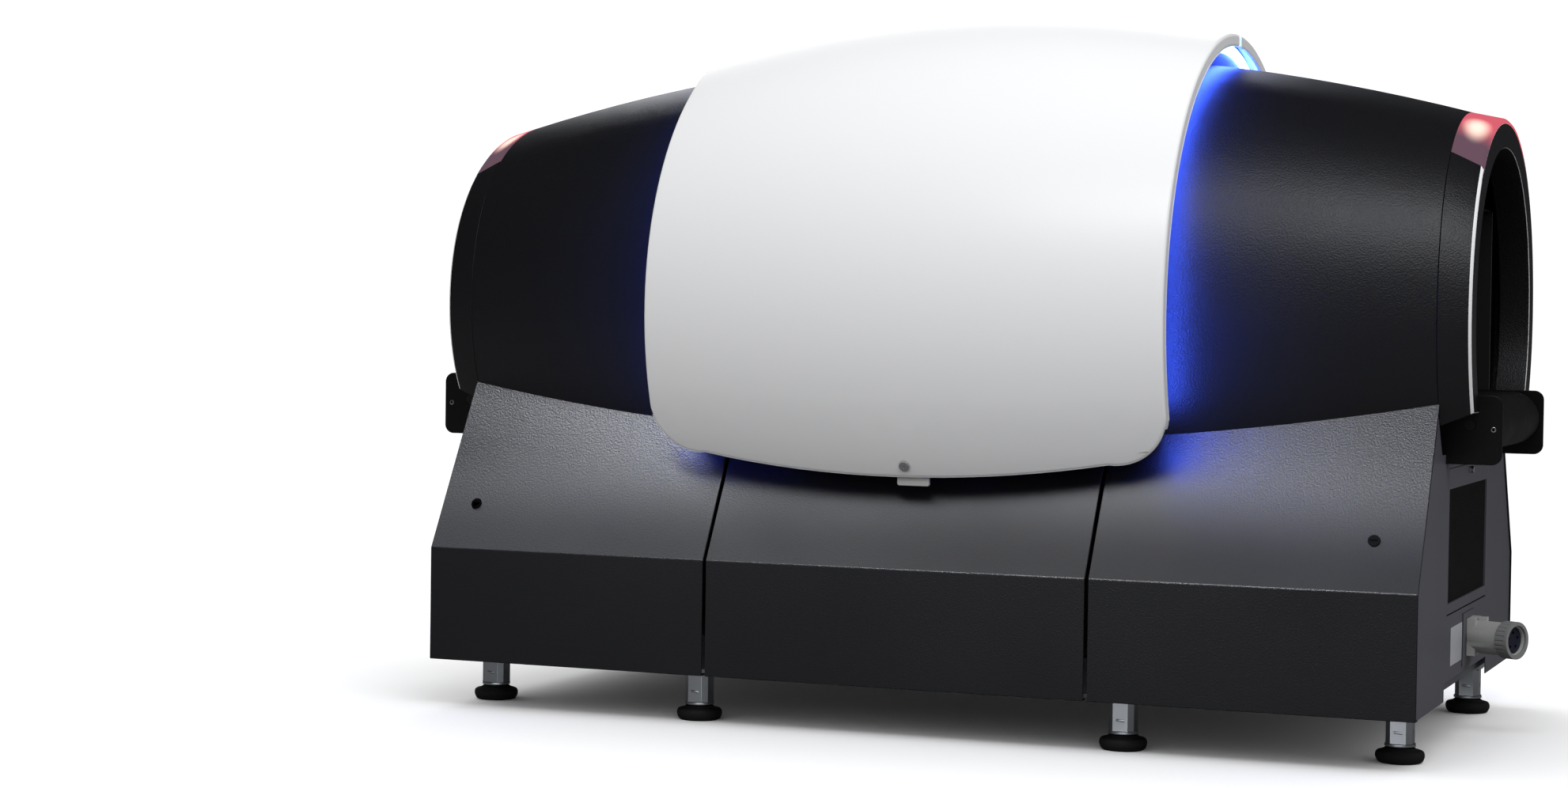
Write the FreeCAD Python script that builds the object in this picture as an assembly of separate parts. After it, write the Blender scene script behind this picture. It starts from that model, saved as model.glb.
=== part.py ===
import FreeCAD, Part
import math
import os

# Baggage scanner: a belt carries bags through a spinning X-ray gantry inside a barrel-shaped casing.
# Millimetres. X runs along the belt, the service side faces -Y, Z is up. The origin is on the floor,
# under the middle of the base. Each function below makes one sub-part and saves it under its node name.

V = FreeCAD.Vector
X_DIR, Y_DIR, Z_DIR = V(1, 0, 0), V(0, 1, 0), V(0, 0, 1)
FAR = 2000.0

# ---- driving dimensions -------------------------------------------------------------------------
# base casing
BASE_HALF_LENGTH = 1150.0
BASE_HALF_DEPTH = 650.0
SKIRT_BOTTOM = 113.0
SKIRT_TOP = 375.0
SLOPE_END_DROP = 180.0       # the slope meets the hood this far below the axis, at the hood's outer end
PANEL_WALL = 5.0
PANEL_RETURN = 25.0
PANEL_GAP = 8.0
PANEL_SPLIT = 447.0
CREASE_RADIUS = 9.0
END_INSET = 4.0
END_WALL = 3.0
# gantry axis, belt and tunnel
AXIS_HEIGHT = 942.0
BELT_DROP = 166.0            # top of the belt below the gantry axis
TUNNEL_WIDTH = 630.0
TUNNEL_HEIGHT = 416.0
LINER_WALL = 3.0
# hoods: half-width and rise above the axis, at the cover end and at the outer end
HOOD_START_SIDE = 534.0
HOOD_START_RISE = 580.0
HOOD_END_SIDE = 470.0
HOOD_END_RISE = 462.0
HOOD_POWER = 2.3             # squareness of the upper half of the section
HOOD_WALL = 5.0
HOOD_FOOT_DROP = 292.0       # lower lips of the hood below the axis
HOOD_TUCK = 49.0             # how far the hood runs in under the cover
# end collars and indicator lenses
COLLAR_LENGTH = 70.0
RIM_SIDE = 462.0
RIM_RISE = 441.0
RIM_LIFT = 8.0
RIM_POWER = 2.1
RIM_CHAMFER = 6.0
MOUTH_SIDE = 395.0
MOUTH_RISE = 375.0
COLLAR_FOOT_IN = 230.0       # slanted lower edge of the collar, below the axis, at its inner side
COLLAR_FOOT_OUT = 197.0      # and at its rim
COLLAR_WALL = 5.0
LENS_WALL = 11.0
LENS_HALF_WIDTH = 330.0
# covers
COVER_RADIUS = 714.0
COVER_HALF_LENGTH = 605.0
COVER_BOW_RADIUS = 2900.0
COVER_WALL = 6.0
COVER_FOOT = 365.0           # lowest point of the cover's edge below the axis
COVER_FOOT_RISE = 40.0       # how much its lower edge rises towards the corners
COVER_CORNER_X = 475.0
COVER_CORNER_RADIUS = 100.0
COVER_LIP = 28.0
COVER_PIVOT_Y = 27.5
COVER_PIVOT_DEPTH = 19.0
COVER_SWING_GAP = 1.0         # upper edge of each open cover to the middle plane
HINGE_STATION = 120.0
HINGE_PIN_RADIUS = 3.5
HINGE_EYE_RADIUS = 6.0
HINGE_EYE_WIDTH = 21.0
HINGE_LUG_WIDTH = 10.0
STRAP_WALL = 8.0
STRAP_ANGLE = 48.0
LOCK_X = 22.0
LOCK_DROP = 340.0
LOCK_RADIUS = 9.0
LOCK_FLANGE_RADIUS = 12.0
TAB_X0 = -3.0
TAB_X1 = 72.0
TAB_DROP = 19.0
# light rings behind the cover edges
RING_WALL = 10.0
RING_COVER_GAP = 8.0
RING_FOOT_DROP = 250.0
LIGHT_INNER = 610.0
LIGHT_OUTER = 634.0
LIGHT_DEPTH = 8.0
# gantry
ROTOR_BORE = 455.0
ROTOR_OUTER = 595.0
ROTOR_TUBE_WALL = 20.0
ROTOR_X0 = -250.0
ROTOR_X1 = 235.0
ROTOR_DISC_HALF = 10.0
SHEAVE_RADIUS = 500.0
SHEAVE_WIDTH = 30.0
BEARING_RADIUS = 505.0
BEARING_OUTER = 545.0
BEARING_WIDTH = 40.0
STATOR_X = -275.0
STATOR_WALL = 20.0
STATOR_BORE = 480.0
STATOR_RADIUS = 606.0
STATOR_HALF_WIDTH = 440.0
GANTRY_ROOM = 620.0          # radius kept free of base panels around the gantry
GANTRY_ROOM_HALF = 300.0
TUBE_RADIUS = 52.0
TUBE_ANGLE = 90.0
TANK_ANGLE = 12.0
COOLER_ANGLE = 168.0
DETECTOR_SPAN = 104.0
SLIP_OUTER = 540.0
SLIP_X0 = -120.0
SLIP_X1 = -80.0
PULLEY_RADIUS = 50.0
PULLEY_Y = -420.0
PULLEY_Z = 380.0
DRIVE_BELT_WALL = 6.0
MOTOR_RADIUS = 65.0
MOTOR_SHAFT_RADIUS = 12.0
# conveyor
PLATE_WALL = 6.0
PLATE_RISE = 3.0             # side plates stand this far above the belt
PLATE_DEPTH = 149.0
PLATE_CORNER = 22.0
PLATE_LEFT_END = -1299.0
PLATE_RIGHT_END = 1264.0
DRUM_RADIUS = 58.0
DRUM_FROM_END = 69.0
DRUM_SHAFT_RADIUS = 12.0
BELT_WALL = 3.0
BELT_SIDE_GAP = 15.0
BED_WALL = 5.0
# base frame and feet
FRAME_BOTTOM = 120.0
FRAME_TUBE = 80.0
DECK_WALL = 8.0
POST = 60.0
RAIL_HEIGHT = 40.0
RAIL_BELT_GAP = 20.0          # rail to the conveyor's side plate
RAIL_LEDGE = 11.0             # rail beyond the hood's lip
RAIL_END_GAP = 26.0
ARM_HALF_WIDTH = 25.0
FRAME_GAP = 20.0              # first post beyond the gantry's room
INNER_FOOT_X = 503.0
INNER_FOOT_Y = 539.0
OUTER_FOOT_X = 1082.0
OUTER_FOOT_Y = 444.0
FOOT_WIDTH = 56.0
FOOT_FLANGE = 66.0
PAD_HEIGHT = 33.0
PAD_RADIUS = 52.0
# cabinet inside the base
UNIT_X0 = 460.0
UNIT_LENGTH = 500.0
# end panel, filter door, mains inlet
DOOR_HALF_WIDTH = 270.0
DOOR_BOTTOM = 300.0
DOOR_TOP_DROP = 33.0         # door top below the end panel's upper edge
DOOR_DEPTH = 14.0
DOOR_GAP = 3.0
DOOR_PIN_RADIUS = 2.5
FRAME_RIM = 9.0              # door frame around the filter mesh
DOOR_FOLD = 45.0             # door frame above the filter mesh
NOTCH_HALF = 290.0
NOTCH_RISE = 40.0
LATCH_RADIUS = 8.0
PANEL_LOCK_RADIUS = 13.0
PANEL_LOCK_BARREL = 9.0
PANEL_LOCK_Z = 478.0
PANEL_LOCK_LEFT_X = -1060.0
PANEL_LOCK_RIGHT_X = 1047.0
INLET_Y = 25.0
INLET_Z = 228.0
INLET_ANGLE = 27.6
INLET_RADIUS = 37.0
INLET_NOSE_RADIUS = 33.0
INLET_RING_RADIUS = 42.0
INLET_RING_START = 101.0
INLET_RING_WIDTH = 32.0
# fits
SEAT = 0.3                   # loose seat between neighbouring shells
RUN = 0.05                   # running fit of a shaft in its hole
HOLE_GAP = 0.5               # plain hole around a lock barrel

# ---- values worked out from them ----------------------------------------------------------------
SEAM_X = BASE_HALF_LENGTH - END_INSET
HOOD_START_X = COVER_HALF_LENGTH - HOOD_TUCK
RIM_X = SEAM_X + COLLAR_LENGTH
BELT_TOP = AXIS_HEIGHT - BELT_DROP
PLATE_TOP = BELT_TOP + PLATE_RISE
PLATE_BOTTOM = PLATE_TOP - PLATE_DEPTH
PLATE_INNER = TUNNEL_WIDTH / 2
BELT_WIDTH = TUNNEL_WIDTH - 2 * BELT_SIDE_GAP
PLATE_OUTER = PLATE_INNER + PLATE_WALL
TUNNEL_TOP = PLATE_TOP + TUNNEL_HEIGHT
HOOD_FOOT = AXIS_HEIGHT - HOOD_FOOT_DROP
SLOPE_END_SIDE = HOOD_END_SIDE * math.sqrt(1 - (SLOPE_END_DROP / HOOD_END_RISE) ** 2)
SLOPE_LEAN = (BASE_HALF_DEPTH - SLOPE_END_SIDE) / (AXIS_HEIGHT - SLOPE_END_DROP - SKIRT_TOP)
SLOPE_STRETCH = math.hypot(1, SLOPE_LEAN)
DECK_TOP = FRAME_BOTTOM + FRAME_TUBE
PIVOT_Z = AXIS_HEIGHT + COVER_RADIUS - COVER_PIVOT_DEPTH
COVER_SEAM_HALF = COVER_PIVOT_Y - math.sqrt((COVER_PIVOT_Y - COVER_SWING_GAP) ** 2 - COVER_PIVOT_DEPTH ** 2)
DRUM_Z = BELT_TOP - BELT_WALL - DRUM_RADIUS
DOOR_TOP = HOOD_FOOT - DOOR_TOP_DROP
DRUM_LEFT_X = PLATE_LEFT_END + DRUM_FROM_END
DRUM_RIGHT_X = PLATE_RIGHT_END - DRUM_FROM_END


# ---- shapes used by several sub-parts -----------------------------------------------------------
def save(name, shape):
    """Write one sub-part, as one solid or a group of like solids."""
    solids = shape.Solids
    out = solids[0] if len(solids) == 1 else Part.makeCompound(solids)
    out.exportStep(os.path.join("parts", name + ".step"))


def box(x0, x1, y0, y1, z0, z1):
    return Part.makeBox(x1 - x0, y1 - y0, z1 - z0, V(x0, y0, z0))


def rod_x(radius, x0, x1, y, z):
    return Part.makeCylinder(radius, x1 - x0, V(x0, y, z), X_DIR)


def rod_y(radius, y0, y1, x, z):
    return Part.makeCylinder(radius, y1 - y0, V(x, y0, z), Y_DIR)


def ring_x(inner, outer, x0, x1):
    """Ring about the gantry axis."""
    return rod_x(outer, x0, x1, 0, AXIS_HEIGHT).cut(rod_x(inner, x0, x1, 0, AXIS_HEIGHT))


def prism_x(points, x0, x1):
    """Polygon of (y, z) points run along X."""
    corners = [V(x0, y, z) for y, z in points]
    return Part.Face(Part.makePolygon(corners + corners[:1])).extrude(V(x1 - x0, 0, 0))


def prism_y(points, y0, y1):
    """Polygon of (x, z) points run along Y."""
    corners = [V(x, y0, z) for x, z in points]
    return Part.Face(Part.makePolygon(corners + corners[:1])).extrude(V(0, y1 - y0, 0))


def mirror_x(shape):
    return shape.mirror(V(0, 0, 0), X_DIR)


def mirror_y(shape):
    return shape.mirror(V(0, 0, 0), Y_DIR)


def join(shapes):
    return shapes[0].multiFuse(shapes[1:]).removeSplitter()


def slope_depth(z):
    """Half-depth of the base's outer face at a height on its sloped part."""
    return BASE_HALF_DEPTH - SLOPE_LEAN * (z - SKIRT_TOP)


def arch_wire(x, side, rise, power, lift=0.0, count=28):
    """Closed casing section at x: squarish above the axis height, elliptical below it."""
    points = []
    for i in range(2 * count):
        angle = math.pi * (i + 0.5) / count - math.pi / 2
        cos, sin = math.cos(angle), math.sin(angle)
        bend = 2 / power if sin > 0 else 1.0
        y = side * math.copysign(abs(cos) ** bend, cos)
        z = rise * math.copysign(abs(sin) ** bend, sin)
        points.append(V(x, y, AXIS_HEIGHT + lift + z))
    curve = Part.BSplineCurve()
    curve.interpolate(Points=points, PeriodicFlag=True)
    return Part.Wire([curve.toShape()])


def hood_share(x):
    """1 at the hood's cover end and 0 at its outer end, along a bowed profile."""
    return (SEAM_X ** 2 - x ** 2) / (SEAM_X ** 2 - HOOD_START_X ** 2)


def hood_wire(x, outset):
    share = hood_share(min(max(x, HOOD_START_X), SEAM_X))
    side = HOOD_END_SIDE + (HOOD_START_SIDE - HOOD_END_SIDE) * share
    rise = HOOD_END_RISE + (HOOD_START_RISE - HOOD_END_RISE) * share
    return arch_wire(x, side + outset, rise + outset, HOOD_POWER)


def hood_body(outset, x0, x1, count=5):
    """Solid barrel inside the hood's section, grown by an outset."""
    stops = [x0 + (x1 - x0) * i / (count - 1) for i in range(count)]
    return Part.makeLoft([hood_wire(x, outset) for x in stops], True, False)


def hood_cutter(outset):
    """Room taken by both hoods and by what lies between them, over the base's whole length."""
    right = hood_body(outset, HOOD_START_X, SEAM_X)
    tip = Part.Face(hood_wire(SEAM_X, outset)).extrude(V(4 * END_INSET, 0, 0))
    middle = Part.Face(hood_wire(-HOOD_START_X, outset)).extrude(V(2 * HOOD_START_X, 0, 0))
    return [right, tip, middle, mirror_x(right), mirror_x(tip)]


def hood_room(outset):
    """Everything of the hood cutter that is above the hood's lower lips."""
    above = box(-FAR, FAR, -FAR, FAR, HOOD_FOOT, FAR)
    return [piece.common(above) for piece in hood_cutter(outset)]


# ---- base casing --------------------------------------------------------------------------------
def panel_profile():
    """Section of a front base panel: bottom return, upright skirt, crease and slope."""
    top = AXIS_HEIGHT
    depth, wall = BASE_HALF_DEPTH, PANEL_WALL
    inner_crease = SKIRT_TOP - wall * (SLOPE_STRETCH - 1) / SLOPE_LEAN
    return [
        (-depth, SKIRT_BOTTOM),
        (-depth, SKIRT_TOP),
        (-slope_depth(top), top),
        (-slope_depth(top) + wall * SLOPE_STRETCH, top),
        (-depth + wall, inner_crease),
        (-depth + wall, SKIRT_BOTTOM + wall),
        (-depth + PANEL_RETURN, SKIRT_BOTTOM + wall),
        (-depth + PANEL_RETURN, SKIRT_BOTTOM),
    ]


def slope_point(x, z, out):
    """Point on the front slope, moved outwards along its normal."""
    normal = slope_normal()
    return V(x, -slope_depth(z), z) + normal * out


def slope_normal():
    return V(0, -1, SLOPE_LEAN) * (1 / SLOPE_STRETCH)


def base_panels():
    half_gap = PANEL_GAP / 2
    spans = {
        "left": (-BASE_HALF_LENGTH, -PANEL_SPLIT - half_gap, PANEL_LOCK_LEFT_X),
        "centre": (-PANEL_SPLIT + half_gap, PANEL_SPLIT - half_gap, None),
        "right": (PANEL_SPLIT + half_gap, BASE_HALF_LENGTH, PANEL_LOCK_RIGHT_X),
    }
    gantry_room = rod_x(GANTRY_ROOM, -GANTRY_ROOM_HALF, GANTRY_ROOM_HALF, 0, AXIS_HEIGHT)
    for side, (x0, x1, lock_x) in spans.items():
        panel = prism_x(panel_profile(), x0, x1)
        crease = [e for e in panel.Edges
                  if abs(e.BoundBox.YMax + BASE_HALF_DEPTH) < 0.01 and abs(e.BoundBox.ZMin - SKIRT_TOP) < 0.01
                  and e.BoundBox.XLength > 1]
        panel = panel.makeFillet(CREASE_RADIUS, crease)
        panel = panel.cut(hood_cutter(SEAT)).cut(gantry_room)
        panel = max(panel.Solids, key=lambda s: s.Volume)
        if lock_x is not None:
            start = slope_point(lock_x, PANEL_LOCK_Z, 2 * PANEL_WALL)
            hole = Part.makeCylinder(PANEL_LOCK_BARREL + HOLE_GAP, 4 * PANEL_WALL, start, -slope_normal())
            panel = panel.cut(hole)
        save("base_panel_front_" + side, panel)
        save("base_panel_rear_" + side, mirror_y(panel))


def panel_locks():
    """Quarter-turn fasteners with a slotted head, two on each long side of the base."""
    for side, x in (("left", PANEL_LOCK_LEFT_X), ("right", PANEL_LOCK_RIGHT_X)):
        normal = slope_normal()
        head = Part.makeCylinder(PANEL_LOCK_RADIUS, 3, slope_point(x, PANEL_LOCK_Z, SEAT), normal)
        barrel = Part.makeCylinder(PANEL_LOCK_BARREL, 22, slope_point(x, PANEL_LOCK_Z, 1), -normal)
        cam = Part.makeBox(2 * PANEL_LOCK_RADIUS + 8, 9, 3, V(-PANEL_LOCK_BARREL, -4.5, 0))
        slot = Part.makeBox(15, 3, 2.2, V(-7.5, -1.5, 0))
        tilt = FreeCAD.Rotation(Z_DIR, normal)
        cam.Placement = FreeCAD.Placement(slope_point(x, PANEL_LOCK_Z, -20), tilt)
        slot.Placement = FreeCAD.Placement(slope_point(x, PANEL_LOCK_Z, SEAT + 1.2), tilt)
        lock = join([head, barrel, cam]).cut(slot)
        save("panel_lock_front_" + side, lock)
        save("panel_lock_rear_" + side, mirror_y(lock))


def end_outline(inset):
    """Half-sections of the base seen from its end, joined into one outline."""
    depth = BASE_HALF_DEPTH - inset
    top = AXIS_HEIGHT
    top_depth = slope_depth(top) - inset * SLOPE_STRETCH
    crease = SKIRT_TOP - inset * (SLOPE_STRETCH - 1) / SLOPE_LEAN
    right = [(depth, SKIRT_BOTTOM), (depth, crease), (top_depth, top)]
    left = [(-y, z) for y, z in reversed(right)]
    return right + left


def end_panels():
    """Flat end plates between the long panels; the right one carries the filter door and the inlet."""
    inset = PANEL_WALL + SEAT
    x0 = SEAM_X - END_WALL
    panel = prism_x(end_outline(inset), x0, SEAM_X)
    panel = panel.cut(hood_room(SEAT))
    panel = panel.cut(box(x0 - 1, SEAM_X + 1, -NOTCH_HALF, NOTCH_HALF, 0, SKIRT_BOTTOM + NOTCH_RISE))
    panel = panel.cut(box(x0 - 1, SEAM_X + 1, -FAR, -BASE_HALF_DEPTH + PANEL_RETURN + SEAT, 0,
                          SKIRT_BOTTOM + PANEL_WALL + SEAT))
    panel = panel.cut(box(x0 - 1, SEAM_X + 1, BASE_HALF_DEPTH - PANEL_RETURN - SEAT, FAR, 0,
                          SKIRT_BOTTOM + PANEL_WALL + SEAT))
    panel = panel.cut(box(x0 - 1, SEAM_X + 1, -PLATE_OUTER - SEAT, PLATE_OUTER + SEAT,
                          PLATE_BOTTOM - SEAT, FAR))
    panel = max(panel.Solids, key=lambda s: s.Volume)
    save("end_panel_left", mirror_x(panel))
    opening_half = DOOR_HALF_WIDTH + SEAT * 5
    panel = panel.cut(box(x0 - 1, SEAM_X + 1, -opening_half, opening_half,
                          DOOR_BOTTOM - DOOR_GAP, DOOR_TOP + SEAT * 5))
    pins = []
    for sign in (-1, 1):
        y0 = sign * (DOOR_HALF_WIDTH - 6)
        y1 = sign * (opening_half + 6)
        pins.append(rod_y(DOOR_PIN_RADIUS, min(y0, y1), max(y0, y1), SEAM_X - 4, DOOR_BOTTOM + 4))
    save("end_panel_right", join([panel] + pins))


def filter_door():
    """Pan-shaped frame hinged on two pins along its lower edge, with the air filter in it."""
    x0, x1 = SEAM_X - DOOR_DEPTH, SEAM_X
    half = DOOR_HALF_WIDTH
    mesh_half = half - FRAME_RIM
    mesh_low, mesh_top = DOOR_BOTTOM + 2.5 * FRAME_RIM, DOOR_TOP - DOOR_FOLD
    door = box(x0, x1, -half, half, DOOR_BOTTOM, DOOR_TOP)
    door = door.cut(box(x0 - 1, x1 + 1, -mesh_half, mesh_half, mesh_low, mesh_top))
    pocket_low = mesh_top + 4
    door = door.cut(box(x0 - 1, x1 - END_WALL, -mesh_half, mesh_half, pocket_low, DOOR_TOP - 4))
    for sign in (-1, 1):
        y0 = sign * (half - 8)
        y1 = sign * (half + 1)
        door = door.cut(rod_y(DOOR_PIN_RADIUS + RUN, min(y0, y1), max(y0, y1), x1 - 4, DOOR_BOTTOM + 4))
    latch_z = DOOR_TOP - 12
    door = door.cut(rod_x(LATCH_RADIUS / 2 + HOLE_GAP, x0 - 1, x1 + 1, 0, latch_z))
    save("filter_door", door)
    mesh = box(x1 - 9, x1 - 5, -mesh_half, mesh_half, mesh_low, mesh_top)
    save("filter_mesh", mesh)
    knob = rod_x(LATCH_RADIUS, x1 + SEAT, x1 + 10, 0, latch_z)
    stem = rod_x(LATCH_RADIUS / 2, x1 - 22, x1 + 2, 0, latch_z)
    cam = box(x1 - 22, x1 - 18, -4, 26, latch_z - 4, latch_z + 4)
    save("door_latch", join([knob, stem, cam]))


# ---- frame and feet -----------------------------------------------------------------------------
def rail_edges():
    """Inner and outer side of the upper rails: under the hoods' lower lips, and inside the base panels."""
    drop = HOOD_FOOT_DROP / HOOD_START_RISE
    hood_side = HOOD_START_SIDE * math.sqrt(1 - drop ** 2)
    panel_inside = slope_depth(HOOD_FOOT) - PANEL_WALL * SLOPE_STRETCH - SEAT
    return PLATE_OUTER + RAIL_BELT_GAP, min(hood_side + RAIL_LEDGE, panel_inside)


def base_frame():
    """Welded chassis: long and cross tubes, deck plates, posts, and rails for hoods and conveyor."""
    low, top = FRAME_BOTTOM, DECK_TOP
    half_tube, half_post = FRAME_TUBE / 2, POST / 2
    long_in, long_out = INNER_FOOT_Y - half_tube, INNER_FOOT_Y + half_tube
    rail_in, rail_out = rail_edges()
    post_y = (rail_in + rail_out) / 2
    rail_low = HOOD_FOOT - RAIL_HEIGHT
    stations = (-OUTER_FOOT_X, STATOR_X + STATOR_WALL / 2, -STATOR_X, OUTER_FOOT_X)
    pieces = [box(x - half_tube, x + half_tube, -long_out, long_out, low, top) for x in stations]
    for near, far in zip(stations, stations[1:]):
        x0, x1 = near + half_tube, far - half_tube
        pieces.append(box(x0, x1, -long_in, long_in, top - DECK_WALL, top))
        pieces.append(box(x0, x1, long_in, long_out, low, top))
        pieces.append(box(x0, x1, -long_out, -long_in, low, top))
    gantry_post = GANTRY_ROOM_HALF + FRAME_GAP + half_post
    for sign in (-1, 1):
        y0, y1 = sorted((sign * long_out, sign * (BASE_HALF_DEPTH - PANEL_WALL)))
        for share in (-0.87, -0.52, -0.17, 0.17, 0.52, 0.87):
            x = share * BASE_HALF_LENGTH
            pieces.append(box(x - half_tube / 2, x + half_tube / 2, y0, y1, low + 20, low + 40))
        rail = sorted((sign * rail_in, sign * rail_out))
        arm = sorted((sign * PLATE_OUTER, sign * rail_in))
        for end in (-1, 1):
            x0, x1 = sorted((end * (gantry_post - half_post), end * (SEAM_X - RAIL_END_GAP)))
            pieces.append(box(x0, x1, rail[0], rail[1], rail_low, HOOD_FOOT))
            for x in (end * gantry_post, end * OUTER_FOOT_X):
                pieces.append(box(x - half_post, x + half_post, sign * post_y - half_post,
                                  sign * post_y + half_post, top, rail_low))
                pieces.append(box(x - ARM_HALF_WIDTH, x + ARM_HALF_WIDTH, arm[0], arm[1],
                                  HOOD_FOOT - 30, HOOD_FOOT - 4))
    save("base_frame", Part.makeCompound(pieces))


def feet():
    """Eight levelling feet: plated housings under the chassis, on round rubber pads."""
    places = []
    for sx in (-1, 1):
        for sy in (-1, 1):
            places.append((sx * OUTER_FOOT_X, sy * OUTER_FOOT_Y))
            places.append((sx * INNER_FOOT_X, sy * INNER_FOOT_Y))
    housings, pads = [], []
    for x, y in places:
        half, flange, cut = FOOT_WIDTH / 2, FOOT_FLANGE / 2, FOOT_WIDTH / 5
        corners = [(half, half - cut), (half - cut, half), (cut - half, half), (-half, half - cut),
                   (-half, cut - half), (cut - half, -half), (half - cut, -half), (half, cut - half)]
        wire = Part.makePolygon([V(x + a, y + b, PAD_HEIGHT + 7) for a, b in corners + corners[:1]])
        core = Part.Face(wire).extrude(V(0, 0, FRAME_BOTTOM - PAD_HEIGHT - 7))
        upper = box(x - flange, x + flange, y - flange, y + flange, FRAME_BOTTOM - 14, FRAME_BOTTOM)
        lower = Part.makeCylinder(flange, 6, V(x, y, PAD_HEIGHT + 2))
        stem = Part.makeCylinder(12, 12, V(x, y, PAD_HEIGHT - 3))
        band = Part.makeCylinder(half + 2, 5, V(x, y, PAD_HEIGHT + 30))
        housing = [core, upper, lower, stem, band]
        for a, b in ((-1, -1), (-1, 1), (1, -1), (1, 1)):
            housing.append(Part.makeCylinder(3, 3, V(x + a * 28, y + b * 28, FRAME_BOTTOM - 17)))
        housings.append(join(housing))
        r, h = PAD_RADIUS, PAD_HEIGHT
        outline = [(0, 0), (r * 0.86, 0), (r * 0.94, 5), (r, 12), (r, 19), (r * 0.95, 25), (r * 0.66, 29),
                   (r * 0.6, h), (14, h), (14, h - 3), (0, h - 3)]
        wire = Part.makePolygon([V(x + a, y, b) for a, b in outline + outline[:1]])
        pads.append(Part.Face(wire).revolve(V(x, y, 0), Z_DIR, 360))
    save("foot_housings", Part.makeCompound(housings))
    save("foot_pads", Part.makeCompound(pads))


# ---- hoods, collars, lenses ---------------------------------------------------------------------
def hoods():
    shell = hood_body(0, HOOD_START_X, SEAM_X).cut(hood_body(-HOOD_WALL, HOOD_START_X - 1, SEAM_X + 1))
    shell = shell.common(box(0, FAR, -FAR, FAR, HOOD_FOOT, FAR))
    save("hood_right", shell)
    save("hood_left", mirror_x(shell))


def collar_body(inset, x0, x1, chamfer):
    """Solid collar from the hood's end section to the rim, shrunk by an inset."""
    share = (x1 - SEAM_X) / COLLAR_LENGTH
    side = HOOD_END_SIDE + (RIM_SIDE - HOOD_END_SIDE) * share
    rise = HOOD_END_RISE + (RIM_RISE - HOOD_END_RISE) * share
    wires = [arch_wire(x0, HOOD_END_SIDE - inset, HOOD_END_RISE - inset, HOOD_POWER),
             arch_wire(x1 - chamfer, side - inset, rise - inset, RIM_POWER, RIM_LIFT * share)]
    body = Part.makeLoft(wires, True, True)
    if chamfer:
        nose = Part.makeLoft([arch_wire(x1 - chamfer, side - inset, rise - inset, RIM_POWER, RIM_LIFT * share),
                              arch_wire(x1, side - inset - chamfer, rise - inset - chamfer, RIM_POWER,
                                        RIM_LIFT * share)], True, True)
        body = body.fuse(nose)
    return body


def mouth_prism(outset, x0, x1):
    wire = arch_wire(x0, MOUTH_SIDE + outset, MOUTH_RISE + outset, RIM_POWER, RIM_LIFT)
    return Part.Face(wire).extrude(V(x1 - x0, 0, 0))


def collars():
    """Ring mouldings round the tunnel mouths, each with a lamp lens let into its top."""
    x0 = SEAM_X + SEAT
    outer = collar_body(0, x0, RIM_X, RIM_CHAMFER)
    wall = LENS_WALL + COLLAR_WALL + 1
    cavity = collar_body(wall, x0 - 1, RIM_X - COLLAR_WALL, 0)
    cavity = cavity.cut(mouth_prism(COLLAR_WALL, x0 - 5, RIM_X + 5))
    collar = outer.cut(mouth_prism(0, x0 - 5, RIM_X + 5)).cut(cavity)
    foot = [(x0 - 5, -FAR), (RIM_X + 5, -FAR), (RIM_X + 5, AXIS_HEIGHT - COLLAR_FOOT_OUT),
            (x0 - 5, AXIS_HEIGHT - COLLAR_FOOT_IN)]
    collar = collar.cut(prism_y(foot, -FAR, FAR))
    collar = collar.cut(box(x0 - 5, RIM_X + 5, -PLATE_OUTER - SEAT, PLATE_OUTER + SEAT, 0, PLATE_TOP + SEAT))
    lens_room = outer.cut(collar_body(LENS_WALL + SEAT, x0 - 1, RIM_X + 1, 0))
    pocket = lens_room.common(box(0, FAR, -LENS_HALF_WIDTH - SEAT, LENS_HALF_WIDTH + SEAT,
                                  AXIS_HEIGHT + RIM_RISE / 2, FAR))
    collar = max(collar.cut(pocket).Solids, key=lambda s: s.Volume)
    lens = outer.cut(collar_body(LENS_WALL, x0 - 1, RIM_X + 1, 0))
    lens = lens.common(box(0, FAR, -LENS_HALF_WIDTH, LENS_HALF_WIDTH, AXIS_HEIGHT + RIM_RISE / 2, FAR))
    lens = max(lens.Solids, key=lambda s: s.Volume)
    save("collar_right", collar)
    save("collar_left", mirror_x(collar))
    save("indicator_lens_right", lens)
    save("indicator_lens_left", mirror_x(lens))


def mouth_plates():
    """Bulkheads behind the collars that close the hood round the tunnel."""
    x1 = SEAM_X - 20
    x0 = x1 - 4
    plate = Part.Face(hood_wire(x0, -HOOD_WALL - SEAT - 1.5)).extrude(V(x1 - x0, 0, 0))
    plate = plate.common(box(x0 - 1, x1 + 1, -FAR, FAR, HOOD_FOOT + SEAT, FAR))
    hole = PLATE_INNER + LINER_WALL + SEAT
    plate = plate.cut(box(x0 - 1, x1 + 1, -hole, hole, PLATE_TOP, TUNNEL_TOP + LINER_WALL + SEAT))
    plate = plate.cut(box(x0 - 1, x1 + 1, -PLATE_OUTER - SEAT, PLATE_OUTER + SEAT, 0, PLATE_TOP + SEAT))
    plate = max(plate.Solids, key=lambda s: s.Volume)
    save("mouth_plates", Part.makeCompound([plate, mirror_x(plate)]))


# ---- covers -------------------------------------------------------------------------------------
def cover_radius(x):
    return COVER_RADIUS - x * x / (2 * COVER_BOW_RADIUS)


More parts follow.
